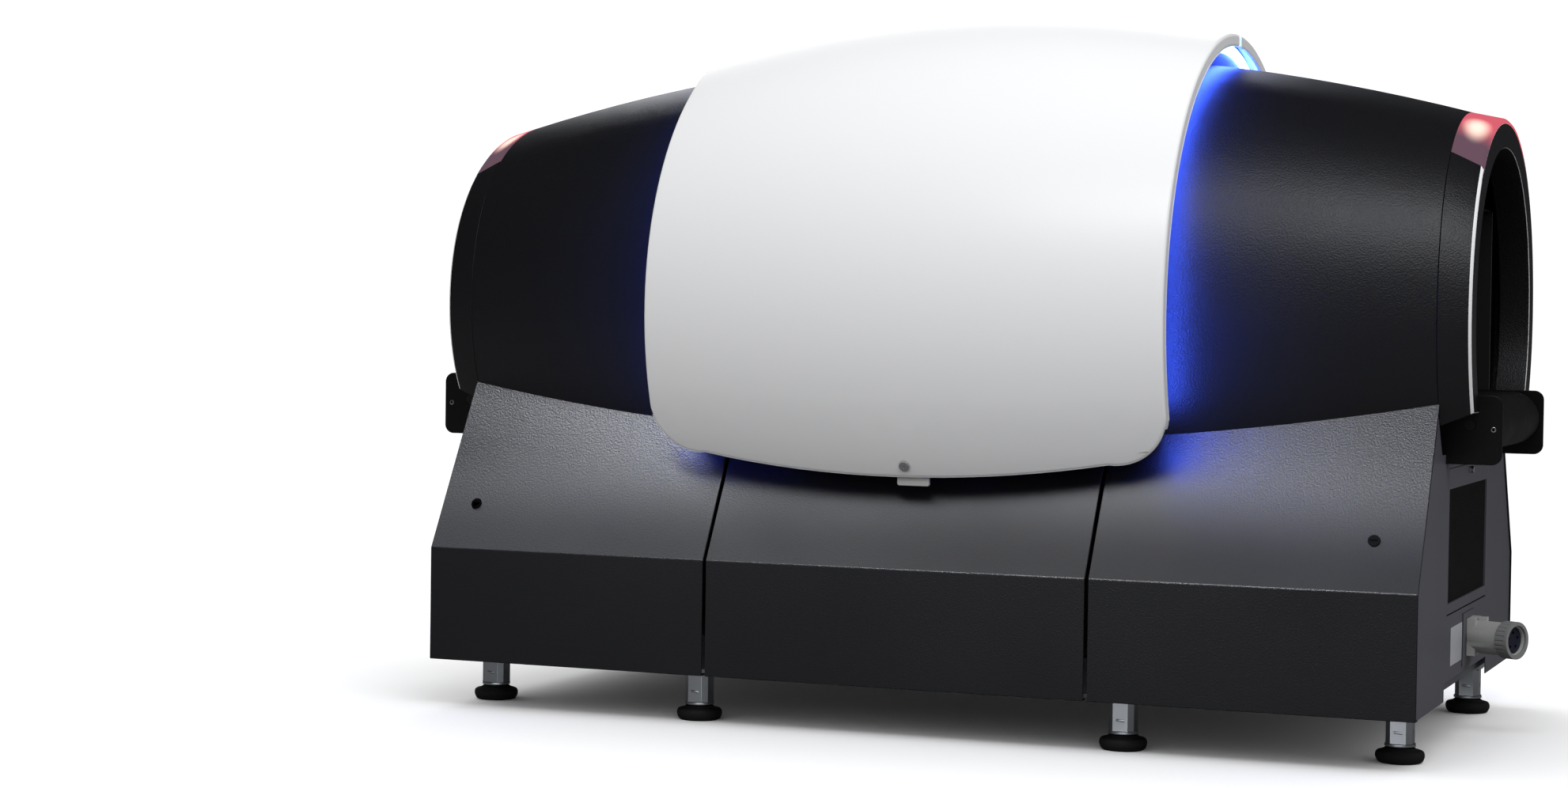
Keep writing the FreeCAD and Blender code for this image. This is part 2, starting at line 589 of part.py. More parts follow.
def barrel(inset, half_length):
    """Solid of revolution under the covers' bowed profile."""
    arc = Part.Arc(V(-half_length, 0, cover_radius(half_length) - inset), V(0, 0, COVER_RADIUS - inset),
                   V(half_length, 0, cover_radius(half_length) - inset)).toShape()
    base = Part.makePolygon([V(half_length, 0, cover_radius(half_length) - inset), V(half_length, 0, 0),
                             V(-half_length, 0, 0), V(-half_length, 0, cover_radius(half_length) - inset)])
    solid = Part.Face(Part.Wire([arc] + base.Edges)).revolve(V(0, 0, 0), X_DIR, 360)
    solid.translate(V(0, 0, AXIS_HEIGHT))
    return solid


def cover_outline():
    """Front view of a cover: upright ends, rounded lower corners and a bowed lower edge."""
    x1, r = COVER_HALF_LENGTH, COVER_CORNER_RADIUS
    low = AXIS_HEIGHT - COVER_FOOT
    bend_x, bend_z = COVER_CORNER_X, low + COVER_FOOT_RISE
    turn = V(x1, 0, bend_z + r + 35)
    middle = V(x1 - 0.26 * r, 0, bend_z + 0.42 * r)
    top = AXIS_HEIGHT + FAR
    edges = [
        Part.Arc(V(-bend_x, 0, bend_z), V(0, 0, low), V(bend_x, 0, bend_z)).toShape(),
        Part.Arc(V(bend_x, 0, bend_z), middle, turn).toShape(),
        Part.makeLine(turn, V(x1, 0, top)),
        Part.makeLine(V(x1, 0, top), V(-x1, 0, top)),
        Part.makeLine(V(-x1, 0, top), V(-x1, 0, turn.z)),
        Part.Arc(V(-x1, 0, turn.z), V(-middle.x, 0, middle.z), V(-bend_x, 0, bend_z)).toShape(),
    ]
    face = Part.Face(Part.Wire(edges))
    face.translate(V(0, -FAR, 0))
    return face.extrude(V(0, FAR - COVER_SEAM_HALF, 0))


def lock_direction():
    """Outward direction of the cover's skin at the key lock."""
    depth = math.sqrt(cover_radius(LOCK_X) ** 2 - LOCK_DROP ** 2)
    return V(0, -depth, -LOCK_DROP) * (1 / cover_radius(LOCK_X)), depth


def covers():
    """Two bowed shells that meet at the crown, each hinged there on two straps, with lock and pull tab."""
    half = COVER_HALF_LENGTH
    shell = barrel(0, half).cut(barrel(COVER_WALL, half + 1))
    for end in (-1, 1):
        x0, x1 = sorted((end * half, end * (half - COVER_WALL)))
        edge = cover_radius(half)
        shell = shell.fuse(ring_x(edge - COVER_LIP, edge - COVER_WALL / 2, x0, x1))
    cover = shell.common(cover_outline())
    cover = max(cover.Solids, key=lambda s: s.Volume)
    out, depth = lock_direction()
    seat = V(LOCK_X, -depth, AXIS_HEIGHT - LOCK_DROP)
    hole = Part.makeCylinder(LOCK_RADIUS + HOLE_GAP, 4 * COVER_WALL, seat + out * COVER_WALL, -out)
    cover = cover.cut(hole)
    save("front_cover", cover)
    save("rear_cover", mirror_y(cover))

    flange = Part.makeCylinder(LOCK_FLANGE_RADIUS, 3, seat + out * 1, out)
    cylinder = Part.makeCylinder(LOCK_RADIUS, 30, seat + out * 2, -out)
    slit = Part.makeBox(1.6, 8, 3, V(-0.8, -4, 0))
    tongue = Part.makeBox(10, 30, 3, V(-5, -6, 0))
    turn = FreeCAD.Rotation(Z_DIR, out)
    slit.Placement = FreeCAD.Placement(seat + out * 2, turn)
    tongue.Placement = FreeCAD.Placement(seat - out * 28, turn)
    lock = join([flange, cylinder, tongue]).cut(slit)
    save("front_cover_lock", lock)
    save("rear_cover_lock", mirror_y(lock))

    low = AXIS_HEIGHT - COVER_FOOT
    inner = math.sqrt((cover_radius(TAB_X1) - COVER_WALL) ** 2 - COVER_FOOT ** 2) - SEAT
    tab = box(TAB_X0, TAB_X1, -inner, -inner + 9, low - TAB_DROP, low + 24)
    uprights = [e for e in tab.Edges if e.BoundBox.YLength > 1 and e.BoundBox.ZMax < low]
    tab = tab.makeFillet(5, uprights)
    save("front_pull_tab", tab)
    save("rear_pull_tab", mirror_y(tab))


def strap(x0, x1):
    """Hinge strap under the front cover's skin, ending in the eye round the hinge pin."""
    skin = COVER_WALL + SEAT
    band = barrel(skin, COVER_HALF_LENGTH).cut(barrel(skin + STRAP_WALL, COVER_HALF_LENGTH + 1))
    reach = FAR * math.tan(math.radians(STRAP_ANGLE))
    wedge = [(-COVER_PIVOT_Y + 2, AXIS_HEIGHT), (-COVER_PIVOT_Y + 2, AXIS_HEIGHT + FAR),
             (-reach, AXIS_HEIGHT + FAR), (0, AXIS_HEIGHT)]
    band = band.common(prism_x(wedge[:3] + [(-1, AXIS_HEIGHT)], x0, x1))
    eye = rod_x(HINGE_EYE_RADIUS, x0, x1, -COVER_PIVOT_Y, PIVOT_Z)
    neck = box(x0, x1, -COVER_PIVOT_Y - 5, -COVER_PIVOT_Y, PIVOT_Z, AXIS_HEIGHT + cover_radius(x1) - skin - 6)
    hole = rod_x(HINGE_PIN_RADIUS + RUN, x0 - 1, x1 + 1, -COVER_PIVOT_Y, PIVOT_Z)
    return join([band, eye, neck]).cut(hole)


def cover_hinges():
    """Crown rail with lugs, four pins, and the straps of both covers."""
    width, lug = HINGE_EYE_WIDTH, HINGE_LUG_WIDTH
    top, bottom = 32.0, 46.0
    rail = barrel(top, HOOD_START_X).cut(barrel(bottom, HOOD_START_X + 1))
    pieces = [rail.common(box(-HOOD_START_X, HOOD_START_X, -5, 5, AXIS_HEIGHT, FAR))]
    pins, front, rear = [], [], []
    for station in (-HINGE_STATION, HINGE_STATION):
        span = width + 0.5 + lug
        for x0 in (station - span, station + span - lug):
            x1 = x0 + lug
            ear = COVER_PIVOT_Y + HINGE_EYE_RADIUS
            pieces.append(box(x0, x1, -ear, ear, PIVOT_Z - 25, PIVOT_Z - 15))
            for y in (-COVER_PIVOT_Y, COVER_PIVOT_Y):
                pieces.append(box(x0, x1, y - HINGE_EYE_RADIUS, y + HINGE_EYE_RADIUS, PIVOT_Z - 16, PIVOT_Z))
                pieces.append(rod_x(HINGE_EYE_RADIUS, x0, x1, y, PIVOT_Z))
        for y in (-COVER_PIVOT_Y, COVER_PIVOT_Y):
            pins.append(rod_x(HINGE_PIN_RADIUS, station - span, station + span, y, PIVOT_Z))
        front.append(strap(station - width - 0.2, station - 0.3))
        rear.append(mirror_y(strap(station + 0.3, station + width + 0.2)))
    save("hinge_rail", join(pieces).cut(pins))
    save("hinge_pins", Part.makeCompound(pins))
    save("front_hinge_straps", Part.makeCompound(front))
    save("rear_hinge_straps", Part.makeCompound(rear))


def light_rings():
    """Ring plates that fill the step between hood and cover, each carrying a light strip."""
    foot = AXIS_HEIGHT - RING_FOOT_DROP
    above = box(-FAR, FAR, -FAR, FAR, foot, FAR)
    x0 = HOOD_START_X
    outer = cover_radius(HOOD_START_X) - COVER_WALL - RING_COVER_GAP
    plate = rod_x(outer, x0, x0 + RING_WALL, 0, AXIS_HEIGHT).cut(hood_body(SEAT, HOOD_START_X, SEAM_X))
    plate = max(plate.common(above).Solids, key=lambda s: s.Volume)
    strip = ring_x(LIGHT_INNER, LIGHT_OUTER, x0 + RING_WALL, x0 + RING_WALL + LIGHT_DEPTH).common(above)
    save("light_ring_plates", Part.makeCompound([plate, mirror_x(plate)]))
    save("light_strips", Part.makeCompound([strip, mirror_x(strip)]))


# ---- gantry -------------------------------------------------------------------------------------
def polar(radius, angle):
    """(y, z) at a radius and angle about the gantry axis, 90 degrees being straight up."""
    return radius * math.cos(math.radians(angle)), AXIS_HEIGHT + radius * math.sin(math.radians(angle))


def stator():
    """Upright ring plate on the chassis, with the fixed race of the main bearing."""
    x0, x1 = STATOR_X, STATOR_X + STATOR_WALL
    half = STATOR_HALF_WIDTH
    ring = ring_x(STATOR_BORE, STATOR_RADIUS, x0, x1)
    disc = rod_x(STATOR_RADIUS, x0, x1, 0, AXIS_HEIGHT)
    crest = box(x0, x1, -30, 30, AXIS_HEIGHT, AXIS_HEIGHT + cover_radius(-STATOR_X) - 46).cut(disc)
    front_leg = box(x0, x1, -half, 0, DECK_TOP, AXIS_HEIGHT).cut(disc)
    rear_leg = box(x0, x1, 0, half, DECK_TOP, AXIS_HEIGHT).cut(disc)
    save("gantry_frame", Part.makeCompound([ring, crest, front_leg, rear_leg]))
    save("main_bearing_race", ring_x(BEARING_RADIUS, BEARING_OUTER, x1, x1 + BEARING_WIDTH))


def rotor():
    """Spinning drum with its disc, running race and belt rim, and what is bolted to it."""
    tube_outer = ROTOR_BORE + ROTOR_TUBE_WALL
    race_x0 = STATOR_X + STATOR_WALL + 5
    sheave_x0 = ROTOR_X1 - SHEAVE_WIDTH
    drum = Part.makeCompound([
        ring_x(ROTOR_BORE, tube_outer, ROTOR_X0, ROTOR_X1),
        ring_x(tube_outer, ROTOR_OUTER, -ROTOR_DISC_HALF, ROTOR_DISC_HALF),
        ring_x(tube_outer, BEARING_RADIUS - RUN, race_x0, race_x0 + 30),
        ring_x(tube_outer, SHEAVE_RADIUS, sheave_x0, ROTOR_X1),
    ])
    save("rotor_drum", drum)
    x0, x1 = ROTOR_DISC_HALF, ROTOR_X1 - SHEAVE_WIDTH - 15
    reach = (tube_outer + ROTOR_OUTER) / 2
    y, z = polar(reach, TUBE_ANGLE)
    tube = join([rod_x(TUBE_RADIUS, x0, x1, y, z), rod_x(TUBE_RADIUS + 6, x0, x0 + 12, y, z),
                 rod_x(TUBE_RADIUS * 0.6, x0, x1 + 8, y, z)])
    save("xray_tube", tube)
    low, high = tube_outer + 4, ROTOR_OUTER - 4

    def block(angle, half_width, x_end):
        shape = ring_x(low, high, x0, x_end)
        ray = V(0, math.cos(math.radians(angle)), math.sin(math.radians(angle)))
        side = V(0, -ray.z, ray.y)
        centre = V(0, 0, AXIS_HEIGHT)
        corners = [centre + ray * a + side * b for a, b in
                   ((200, -half_width), (900, -half_width), (900, half_width), (200, half_width))]
        mask = Part.Face(Part.makePolygon(corners + corners[:1])).extrude(V(FAR, 0, 0))
        return shape.common(mask)

    save("voltage_tank", block(TANK_ANGLE, 130, x1))
    save("rotor_cooler", block(COOLER_ANGLE, 130, x1))
    ring = ring_x(ROTOR_OUTER - 50, ROTOR_OUTER - 6, x0, x1)
    spread = math.radians(DETECTOR_SPAN / 2)
    reach = FAR * math.tan(spread)
    fan = prism_x([(0, AXIS_HEIGHT), (-reach, AXIS_HEIGHT - FAR), (reach, AXIS_HEIGHT - FAR)], x0, x1)
    save("detector_array", ring.common(fan))
    save("slip_ring", ring_x(tube_outer + SEAT, SLIP_OUTER, SLIP_X0, SLIP_X1))


def brush_block():
    """Fixed block on the ring plate whose brushes reach the slip ring."""
    x0 = STATOR_X + STATOR_WALL
    low = AXIS_HEIGHT + BEARING_OUTER + 3
    block = box(x0, SLIP_X1, -35, 35, low, low + 45)
    brushes = [box(x - 3, x + 3, -8, 8, AXIS_HEIGHT + SLIP_OUTER + SEAT, low + 5)
               for x in (SLIP_X0 + 8, SLIP_X0 + 20, SLIP_X0 + 32)]
    save("brush_block", join([block] + brushes))


def belt_outline(radius_a, radius_b, x0, x1):
    """Solid inside an open belt round the rotor rim and the motor pulley."""
    ya, za, yb, zb = 0.0, AXIS_HEIGHT, PULLEY_Y, PULLEY_Z
    dy, dz = yb - ya, zb - za
    span = math.hypot(dy, dz)
    along = math.atan2(dz, dy)
    lean = math.acos((radius_a - radius_b) / span)
    corners = []
    for centre_y, centre_z, radius, sign in ((ya, za, radius_a, 1), (yb, zb, radius_b, 1),
                                             (yb, zb, radius_b, -1), (ya, za, radius_a, -1)):
        angle = along + sign * lean
        corners.append((centre_y + radius * math.cos(angle), centre_z + radius * math.sin(angle)))
    return join([prism_x(corners, x0, x1), rod_x(radius_a, x0, x1, ya, za), rod_x(radius_b, x0, x1, yb, zb)])


def gantry_drive():
    """Motor on the deck, its pulley, and the belt to the rotor's rim."""
    rim_x0 = ROTOR_X1 - SHEAVE_WIDTH
    x0, x1 = rim_x0 + 2, ROTOR_X1 - 2
    inner, outer = SEAT, SEAT + DRIVE_BELT_WALL
    belt = belt_outline(SHEAVE_RADIUS + outer, PULLEY_RADIUS + outer, x0, x1)
    belt = belt.cut(belt_outline(SHEAVE_RADIUS + inner, PULLEY_RADIUS + inner, x0 - 1, x1 + 1))
    save("drive_belt", belt)
    pulley = join([rod_x(PULLEY_RADIUS, x0, x1, PULLEY_Y, PULLEY_Z),
                   rod_x(PULLEY_RADIUS + 9, x1 + 1, x1 + 4, PULLEY_Y, PULLEY_Z),
                   rod_x(PULLEY_RADIUS - 8, x1 - 1, x1 + 2, PULLEY_Y, PULLEY_Z),
                   rod_x(MOTOR_SHAFT_RADIUS, x0 - 50, x1 + 8, PULLEY_Y, PULLEY_Z)])
    save("drive_pulley", pulley)
    face = x0 - 10
    motor = join([rod_x(MOTOR_RADIUS, face - 155, face, PULLEY_Y, PULLEY_Z),
                  rod_x(MOTOR_RADIUS - 12, face - 165, face - 150, PULLEY_Y, PULLEY_Z),
                  box(face - 130, face - 20, PULLEY_Y - 50, PULLEY_Y + 50, DECK_TOP, PULLEY_Z - 30)])
    motor = motor.cut(rod_x(MOTOR_SHAFT_RADIUS + RUN, x0 - 50, face + 1, PULLEY_Y, PULLEY_Z))
    save("drive_motor", motor)


# ---- tunnel and conveyor ------------------------------------------------------------------------
def tunnel_liner():
    """Thin three-sided channel over the belt, from mouth to mouth."""
    x1 = SEAM_X - 8
    inner, outer = PLATE_INNER, PLATE_INNER + LINER_WALL
    liner = box(-x1, x1, -outer, outer, PLATE_TOP, TUNNEL_TOP + LINER_WALL)
    liner = liner.cut(box(-x1 - 1, x1 + 1, -inner, inner, PLATE_TOP - 1, TUNNEL_TOP))
    save("tunnel_liner", liner)


def conveyor():
    """Belt on two end drums between full-length side plates, over a sheet bed with cross ties."""
    plates = []
    for sign in (-1, 1):
        y0, y1 = sorted((sign * PLATE_INNER, sign * PLATE_OUTER))
        plate = box(PLATE_LEFT_END, PLATE_RIGHT_END, y0, y1, PLATE_BOTTOM, PLATE_TOP)
        ends = [e for e in plate.Edges if e.BoundBox.YLength > 1]
        plate = plate.makeFillet(PLATE_CORNER, ends)
        for x in (DRUM_LEFT_X, DRUM_RIGHT_X):
            plate = plate.cut(rod_y(DRUM_SHAFT_RADIUS + RUN, y0 - 1, y1 + 1, x, DRUM_Z))
        plates.append(plate)
    save("conveyor_side_plates", Part.makeCompound(plates))

    half = BELT_WIDTH / 2
    loops = []
    for grow in (BELT_WALL, 0.0):
        r = DRUM_RADIUS + grow
        y0 = -half - (1 - grow / BELT_WALL)
        loops.append(join([rod_y(r, y0, -y0, DRUM_LEFT_X, DRUM_Z), rod_y(r, y0, -y0, DRUM_RIGHT_X, DRUM_Z),
                           box(DRUM_LEFT_X, DRUM_RIGHT_X, y0, -y0, DRUM_Z - r, DRUM_Z + r)]))
    save("conveyor_belt", loops[0].cut(loops[1]))

    for name, x in (("tail_drum", DRUM_LEFT_X), ("drive_drum", DRUM_RIGHT_X)):
        drum = join([rod_y(DRUM_RADIUS - SEAT, -half - 4, half + 4, x, DRUM_Z),
                     rod_y(DRUM_SHAFT_RADIUS, -PLATE_OUTER, PLATE_OUTER, x, DRUM_Z)])
        save(name, drum)

    bed_top = BELT_TOP - BELT_WALL - SEAT
    x0, x1 = DRUM_LEFT_X + DRUM_RADIUS + 8, DRUM_RIGHT_X - DRUM_RADIUS - 8
    bed = [box(x0, x1, -PLATE_INNER, PLATE_INNER, bed_top - BED_WALL, bed_top)]
    for i in range(5):
        x = x0 + 60 + (x1 - x0 - 120) * i / 4
        bed.append(rod_y(14, -PLATE_INNER, PLATE_INNER, x, bed_top - BED_WALL - 12))
    save("conveyor_bed", join(bed))


# ---- inside the base and on its right end -------------------------------------------------------
def control_unit():
    """Computer and power cabinet on the deck, behind the right end's air filter."""
    x0, x1 = UNIT_X0, UNIT_X0 + UNIT_LENGTH
    half = rail_edges()[0] - 60
    top = HOOD_FOOT - 110
    body = box(x0, x1, -half, half, DECK_TOP, top)
    plinth = box(x0 + 20, x1 - 20, -half + 20, half - 20, top - 1, top + 30)
    slots = [box(x1 - 12, x1 + 1, -half + 40, half - 40, z, z + 8)
             for z in range(int(DECK_TOP) + 60, int(top) - 40, 30)]
    save("control_unit", join([body, plinth]).cut(slots))


def mains_inlet():
    """Angled round industrial inlet on its access plate, with a twist-locking ring."""
    turn = math.radians(INLET_ANGLE)
    along = V(math.cos(turn), -math.sin(turn), 0)
    start = V(SEAM_X, INLET_Y, INLET_Z)
    plate = box(SEAM_X, SEAM_X + 3, INLET_Y - 85, INLET_Y + 70, INLET_Z - 63, INLET_Z + 57)
    save("inlet_plate", plate)
    nose_end = INLET_RING_START + INLET_RING_WIDTH - 6
    body = join([
        Part.makeCylinder(INLET_RADIUS, INLET_RING_START - 1 + 40, start - along * 40, along),
        Part.makeCylinder(INLET_NOSE_RADIUS, nose_end, start, along),
        box(SEAM_X, SEAM_X + 22, INLET_Y - 42, INLET_Y + 42, INLET_Z - 42, INLET_Z + 42),
        Part.makeBox(34, 30, 18, V(SEAM_X + 10, INLET_Y - 20, INLET_Z + 26)),
    ])
    body = body.cut(box(SEAM_X - FAR, SEAM_X + 3, -FAR, FAR, 0, FAR))
    socket = Part.makeCylinder(INLET_NOSE_RADIUS - 3, 30, start + along * (nose_end - 20), along)
    save("inlet_body", body.cut(socket))
    ring = Part.makeCylinder(INLET_RING_RADIUS, INLET_RING_WIDTH, start + along * INLET_RING_START, along)
    ring = ring.cut(Part.makeCylinder(INLET_NOSE_RADIUS + RUN, 2 * INLET_RING_WIDTH,
                                      start + along * (INLET_RING_START - 1), along))
    ribs = []
    for i in range(24):
        spin = 2 * math.pi * i / 24
        across = V(-along.y, along.x, 0)
        spot = start + along * (INLET_RING_START - 1) + (across * math.cos(spin) + Z_DIR * math.sin(spin)) \
            * (INLET_RING_RADIUS + 1)
        ribs.append(Part.makeCylinder(2.2, INLET_RING_WIDTH * 0.75, spot, along))
    save("inlet_ring", ring.cut(ribs))
    face = Part.makeCylinder(INLET_NOSE_RADIUS - 3, 14, start + along * (nose_end - 20), along)
    across = V(-along.y, along.x, 0)
    holes = []
    for i in range(5):
        spin = 2 * math.pi * (i + 0.25) / 5
        spot = start + along * (nose_end - 14) + (across * math.cos(spin) + Z_DIR * math.sin(spin)) * 17
        holes.append(Part.makeCylinder(3.6, 10, spot, along))
    save("inlet_face", face.cut(holes))


os.makedirs("parts", exist_ok=True)
base_panels()
panel_locks()
end_panels()
filter_door()
base_frame()
feet()
hoods()
collars()
mouth_plates()
covers()
cover_hinges()
light_rings()
stator()
rotor()
brush_block()
gantry_drive()
tunnel_liner()
conveyor()
control_unit()
mains_inlet()
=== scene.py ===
# Checkpoint baggage CT scanner: looks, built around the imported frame. Metres, +X along the belt, +Z up.
import math

import bpy
from mathutils import Matrix, Vector


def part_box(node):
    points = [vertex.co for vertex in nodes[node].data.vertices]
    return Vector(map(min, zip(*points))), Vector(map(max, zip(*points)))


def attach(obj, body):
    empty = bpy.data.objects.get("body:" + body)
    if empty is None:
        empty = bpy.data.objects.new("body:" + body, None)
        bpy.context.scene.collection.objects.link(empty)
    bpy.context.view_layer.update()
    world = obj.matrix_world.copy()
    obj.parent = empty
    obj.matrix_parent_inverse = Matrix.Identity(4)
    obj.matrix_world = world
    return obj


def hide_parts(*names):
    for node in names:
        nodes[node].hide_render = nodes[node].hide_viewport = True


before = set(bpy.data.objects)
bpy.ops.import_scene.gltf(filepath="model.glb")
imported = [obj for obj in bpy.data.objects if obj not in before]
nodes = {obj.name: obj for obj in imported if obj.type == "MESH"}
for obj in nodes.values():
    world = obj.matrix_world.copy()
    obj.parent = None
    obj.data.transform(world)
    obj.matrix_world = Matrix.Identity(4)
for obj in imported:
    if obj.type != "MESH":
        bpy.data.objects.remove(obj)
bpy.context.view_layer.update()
bpy.ops.object.select_all(action="DESELECT")

# ---- studio -------------------------------------------------------------------------------------
# A long lens stands a little right of the machine and just under its middle height. The floor is a
# pale sheet under an even white room, which mirrors in the panels only faintly. Soft lamps shape
# them from both long sides, and some lamps light one group of pieces alone.
LENS_MM = 65.69
FLOOR_SIZE = 120
FLOOR_SEEN, FLOOR_BOUNCE = (0.96, 0.96, 0.96, 1), (0.12, 0.12, 0.123, 1)
ROOM_STRENGTH = 1.1
ROOM_MIRRORED, ROOM_MIRRORED_STRENGTH = (0.9, 0.93, 1.0, 1), 0.05
LAMP_TINT = (0.93, 0.95, 1.0)
LAMPS = (   # name, place, aim point, size, watts
    ("front_box", (1.3, -2.7, 3.1), (0.1, 0, 1.0), (2.8, 0.6), 42),
    ("slope_box", (-0.75, -1.40, 2.05), (0, -0.5, 0.72), (3.9, 0.3), 118),
    ("end_box", (5.2, -1.6, 1.9), (1.1, 0, 0.6), (1.4, 2.2), 150),
    ("foot_box", (0.9, -4.2, 0.45), (0.2, -0.5, 0.08), (4.5, 0.5), 26),
    ("rear_box", (-1.3, 2.7, 3.1), (-0.1, 0, 1.0), (2.8, 0.6), 36),
    ("rear_slope_box", (0.75, 1.40, 2.05), (0, 0.5, 0.72), (3.9, 0.3), 118),
)
YAW, PITCH, ROLL = math.radians(22.4456), math.radians(-1.4405), math.radians(0.786)
CAMERA_PLACE = Vector((2.1743, -6.5367, 0.9152))

ahead = Vector((-math.sin(YAW) * math.cos(PITCH), math.cos(YAW) * math.cos(PITCH), math.sin(PITCH)))
level = Vector((math.cos(YAW), math.sin(YAW), 0))
upward = level.cross(ahead)
side_dir = level * math.cos(ROLL) + upward * math.sin(ROLL)
up_dir = upward * math.cos(ROLL) - level * math.sin(ROLL)
bpy.ops.object.camera_add()
camera = bpy.context.object
camera.data.lens = LENS_MM
camera.data.clip_end = FLOOR_SIZE
turn = Matrix((side_dir, up_dir, -ahead)).transposed()
camera.matrix_world = Matrix.Translation(CAMERA_PLACE) @ turn.to_4x4()
bpy.context.scene.camera = camera
bpy.context.scene.view_settings.view_transform = "Standard"

bpy.ops.mesh.primitive_plane_add(size=FLOOR_SIZE, location=(0, 0, 0))
floor = bpy.context.object
floor.name = "studio_floor"
floor_paint = bpy.data.materials.new("studio_floor")
floor_paint.use_nodes = True
tree = floor_paint.node_tree
bright = tree.nodes["Principled BSDF"]
bright.inputs["Base Color"].default_value = FLOOR_SEEN
bright.inputs["Roughness"].default_value = 0.9
bright.inputs["Specular IOR Level"].default_value = 0.0
dim = tree.nodes.new("ShaderNodeBsdfDiffuse")
dim.inputs["Color"].default_value = FLOOR_BOUNCE
path = tree.nodes.new("ShaderNodeLightPath")
pick = tree.nodes.new("ShaderNodeMixShader")
tree.links.new(path.outputs["Is Camera Ray"], pick.inputs["Fac"])
tree.links.new(dim.outputs["BSDF"], pick.inputs[1])
tree.links.new(bright.outputs["BSDF"], pick.inputs[2])
tree.links.new(pick.outputs["Shader"], tree.nodes["Material Output"].inputs["Surface"])
floor.data.materials.append(floor_paint)

sky = bpy.data.worlds.new("studio_air")
sky.use_nodes = True
bpy.context.scene.world = sky
tree = sky.node_tree
room = tree.nodes["Background"]
room.inputs["Color"].default_value = (1, 1, 1, 1)
room.inputs["Strength"].default_value = ROOM_STRENGTH
mirrored = tree.nodes.new("ShaderNodeBackground")
mirrored.inputs["Color"].default_value = ROOM_MIRRORED
mirrored.inputs["Strength"].default_value = ROOM_MIRRORED_STRENGTH
path = tree.nodes.new("ShaderNodeLightPath")
pick = tree.nodes.new("ShaderNodeMixShader")
tree.links.new(path.outputs["Is Glossy Ray"], pick.inputs["Fac"])
tree.links.new(room.outputs["Background"], pick.inputs[1])
tree.links.new(mirrored.outputs["Background"], pick.inputs[2])
tree.links.new(pick.outputs["Shader"], tree.nodes["World Output"].inputs["Surface"])


def softbox(name, place, aim, size, power):
    """A rectangular studio lamp that points from its place at an aim point."""
    bpy.ops.object.light_add(type="AREA", location=place)
    lamp = bpy.context.object
    lamp.name = name
    lamp.data.shape = "RECTANGLE"
    lamp.data.size, lamp.data.size_y = size
    lamp.data.energy = power
    lamp.data.color = LAMP_TINT
    lamp.visible_camera = False
    lamp.rotation_euler = (Vector(aim) - Vector(place)).to_track_quat("-Z", "Y").to_euler()
    return lamp


lamps = {name: softbox(name, *setting) for name, *setting in LAMPS}
foot_lit = bpy.data.collections.new("foot_lit")
slope_lit = bpy.data.collections.new("slope_lit")
end_lit = bpy.data.collections.new("end_lit")
lamps["foot_box"].light_linking.receiver_collection = foot_lit
lamps["slope_box"].light_linking.receiver_collection = slope_lit
lamps["rear_slope_box"].light_linking.receiver_collection = slope_lit
lamps["end_box"].light_linking.receiver_collection = end_lit

# ---- chassis ------------------------------------------------------------------------------------
# Welded square tube, deck plates and posts behind the panels, powder-coated mid grey. The tubes
# are bolted to the feet, and every edge has the small radius of drawn tube.


MERGE_DISTANCE, FLAT_WITHIN, FACE_WEIGHT = 0.00002, math.radians(0.5), 100
GRAIN_HEIGHT, SCRATCH_HEIGHT = 0.001, 0.0004


def moulded(name, colour, roughness, grain_scale, grain_depth, shade=0.25, shine=0.5):
    """Plastic, rubber or paint with a fine raised grain and slightly uneven colour and gloss."""
    material = bpy.data.materials.new(name)
    material.use_nodes = True
    tree = material.node_tree
    skin = tree.nodes["Principled BSDF"]
    skin.inputs["Specular IOR Level"].default_value = shine
    place = tree.nodes.new("ShaderNodeTexCoord")
    grain = tree.nodes.new("ShaderNodeTexNoise")
    grain.inputs["Scale"].default_value = grain_scale
    grain.inputs["Detail"].default_value = 4
    cloud = tree.nodes.new("ShaderNodeTexNoise")
    cloud.inputs["Scale"].default_value = 2.2
    cloud.inputs["Detail"].default_value = 3
    bump = tree.nodes.new("ShaderNodeBump")
    bump.inputs["Strength"].default_value = grain_depth
    bump.inputs["Distance"].default_value = GRAIN_HEIGHT
    tint = tree.nodes.new("ShaderNodeMix")
    tint.data_type = "RGBA"
    tint.inputs["A"].default_value = (*[c * (1 - shade) for c in colour], 1)
    tint.inputs["B"].default_value = (*[c * (1 + shade) for c in colour], 1)
    gloss = tree.nodes.new("ShaderNodeMapRange")
    gloss.inputs["To Min"].default_value = roughness - 0.06
    gloss.inputs["To Max"].default_value = roughness + 0.08
    for texture in (grain, cloud):
        tree.links.new(place.outputs["Object"], texture.inputs["Vector"])
    tree.links.new(grain.outputs["Fac"], bump.inputs["Height"])
    tree.links.new(grain.outputs["Fac"], tint.inputs["Factor"])
    tree.links.new(cloud.outputs["Fac"], gloss.inputs["Value"])
    tree.links.new(tint.outputs["Result"], skin.inputs["Base Color"])
    tree.links.new(gloss.outputs["Result"], skin.inputs["Roughness"])
    tree.links.new(bump.outputs["Normal"], skin.inputs["Normal"])
    return material


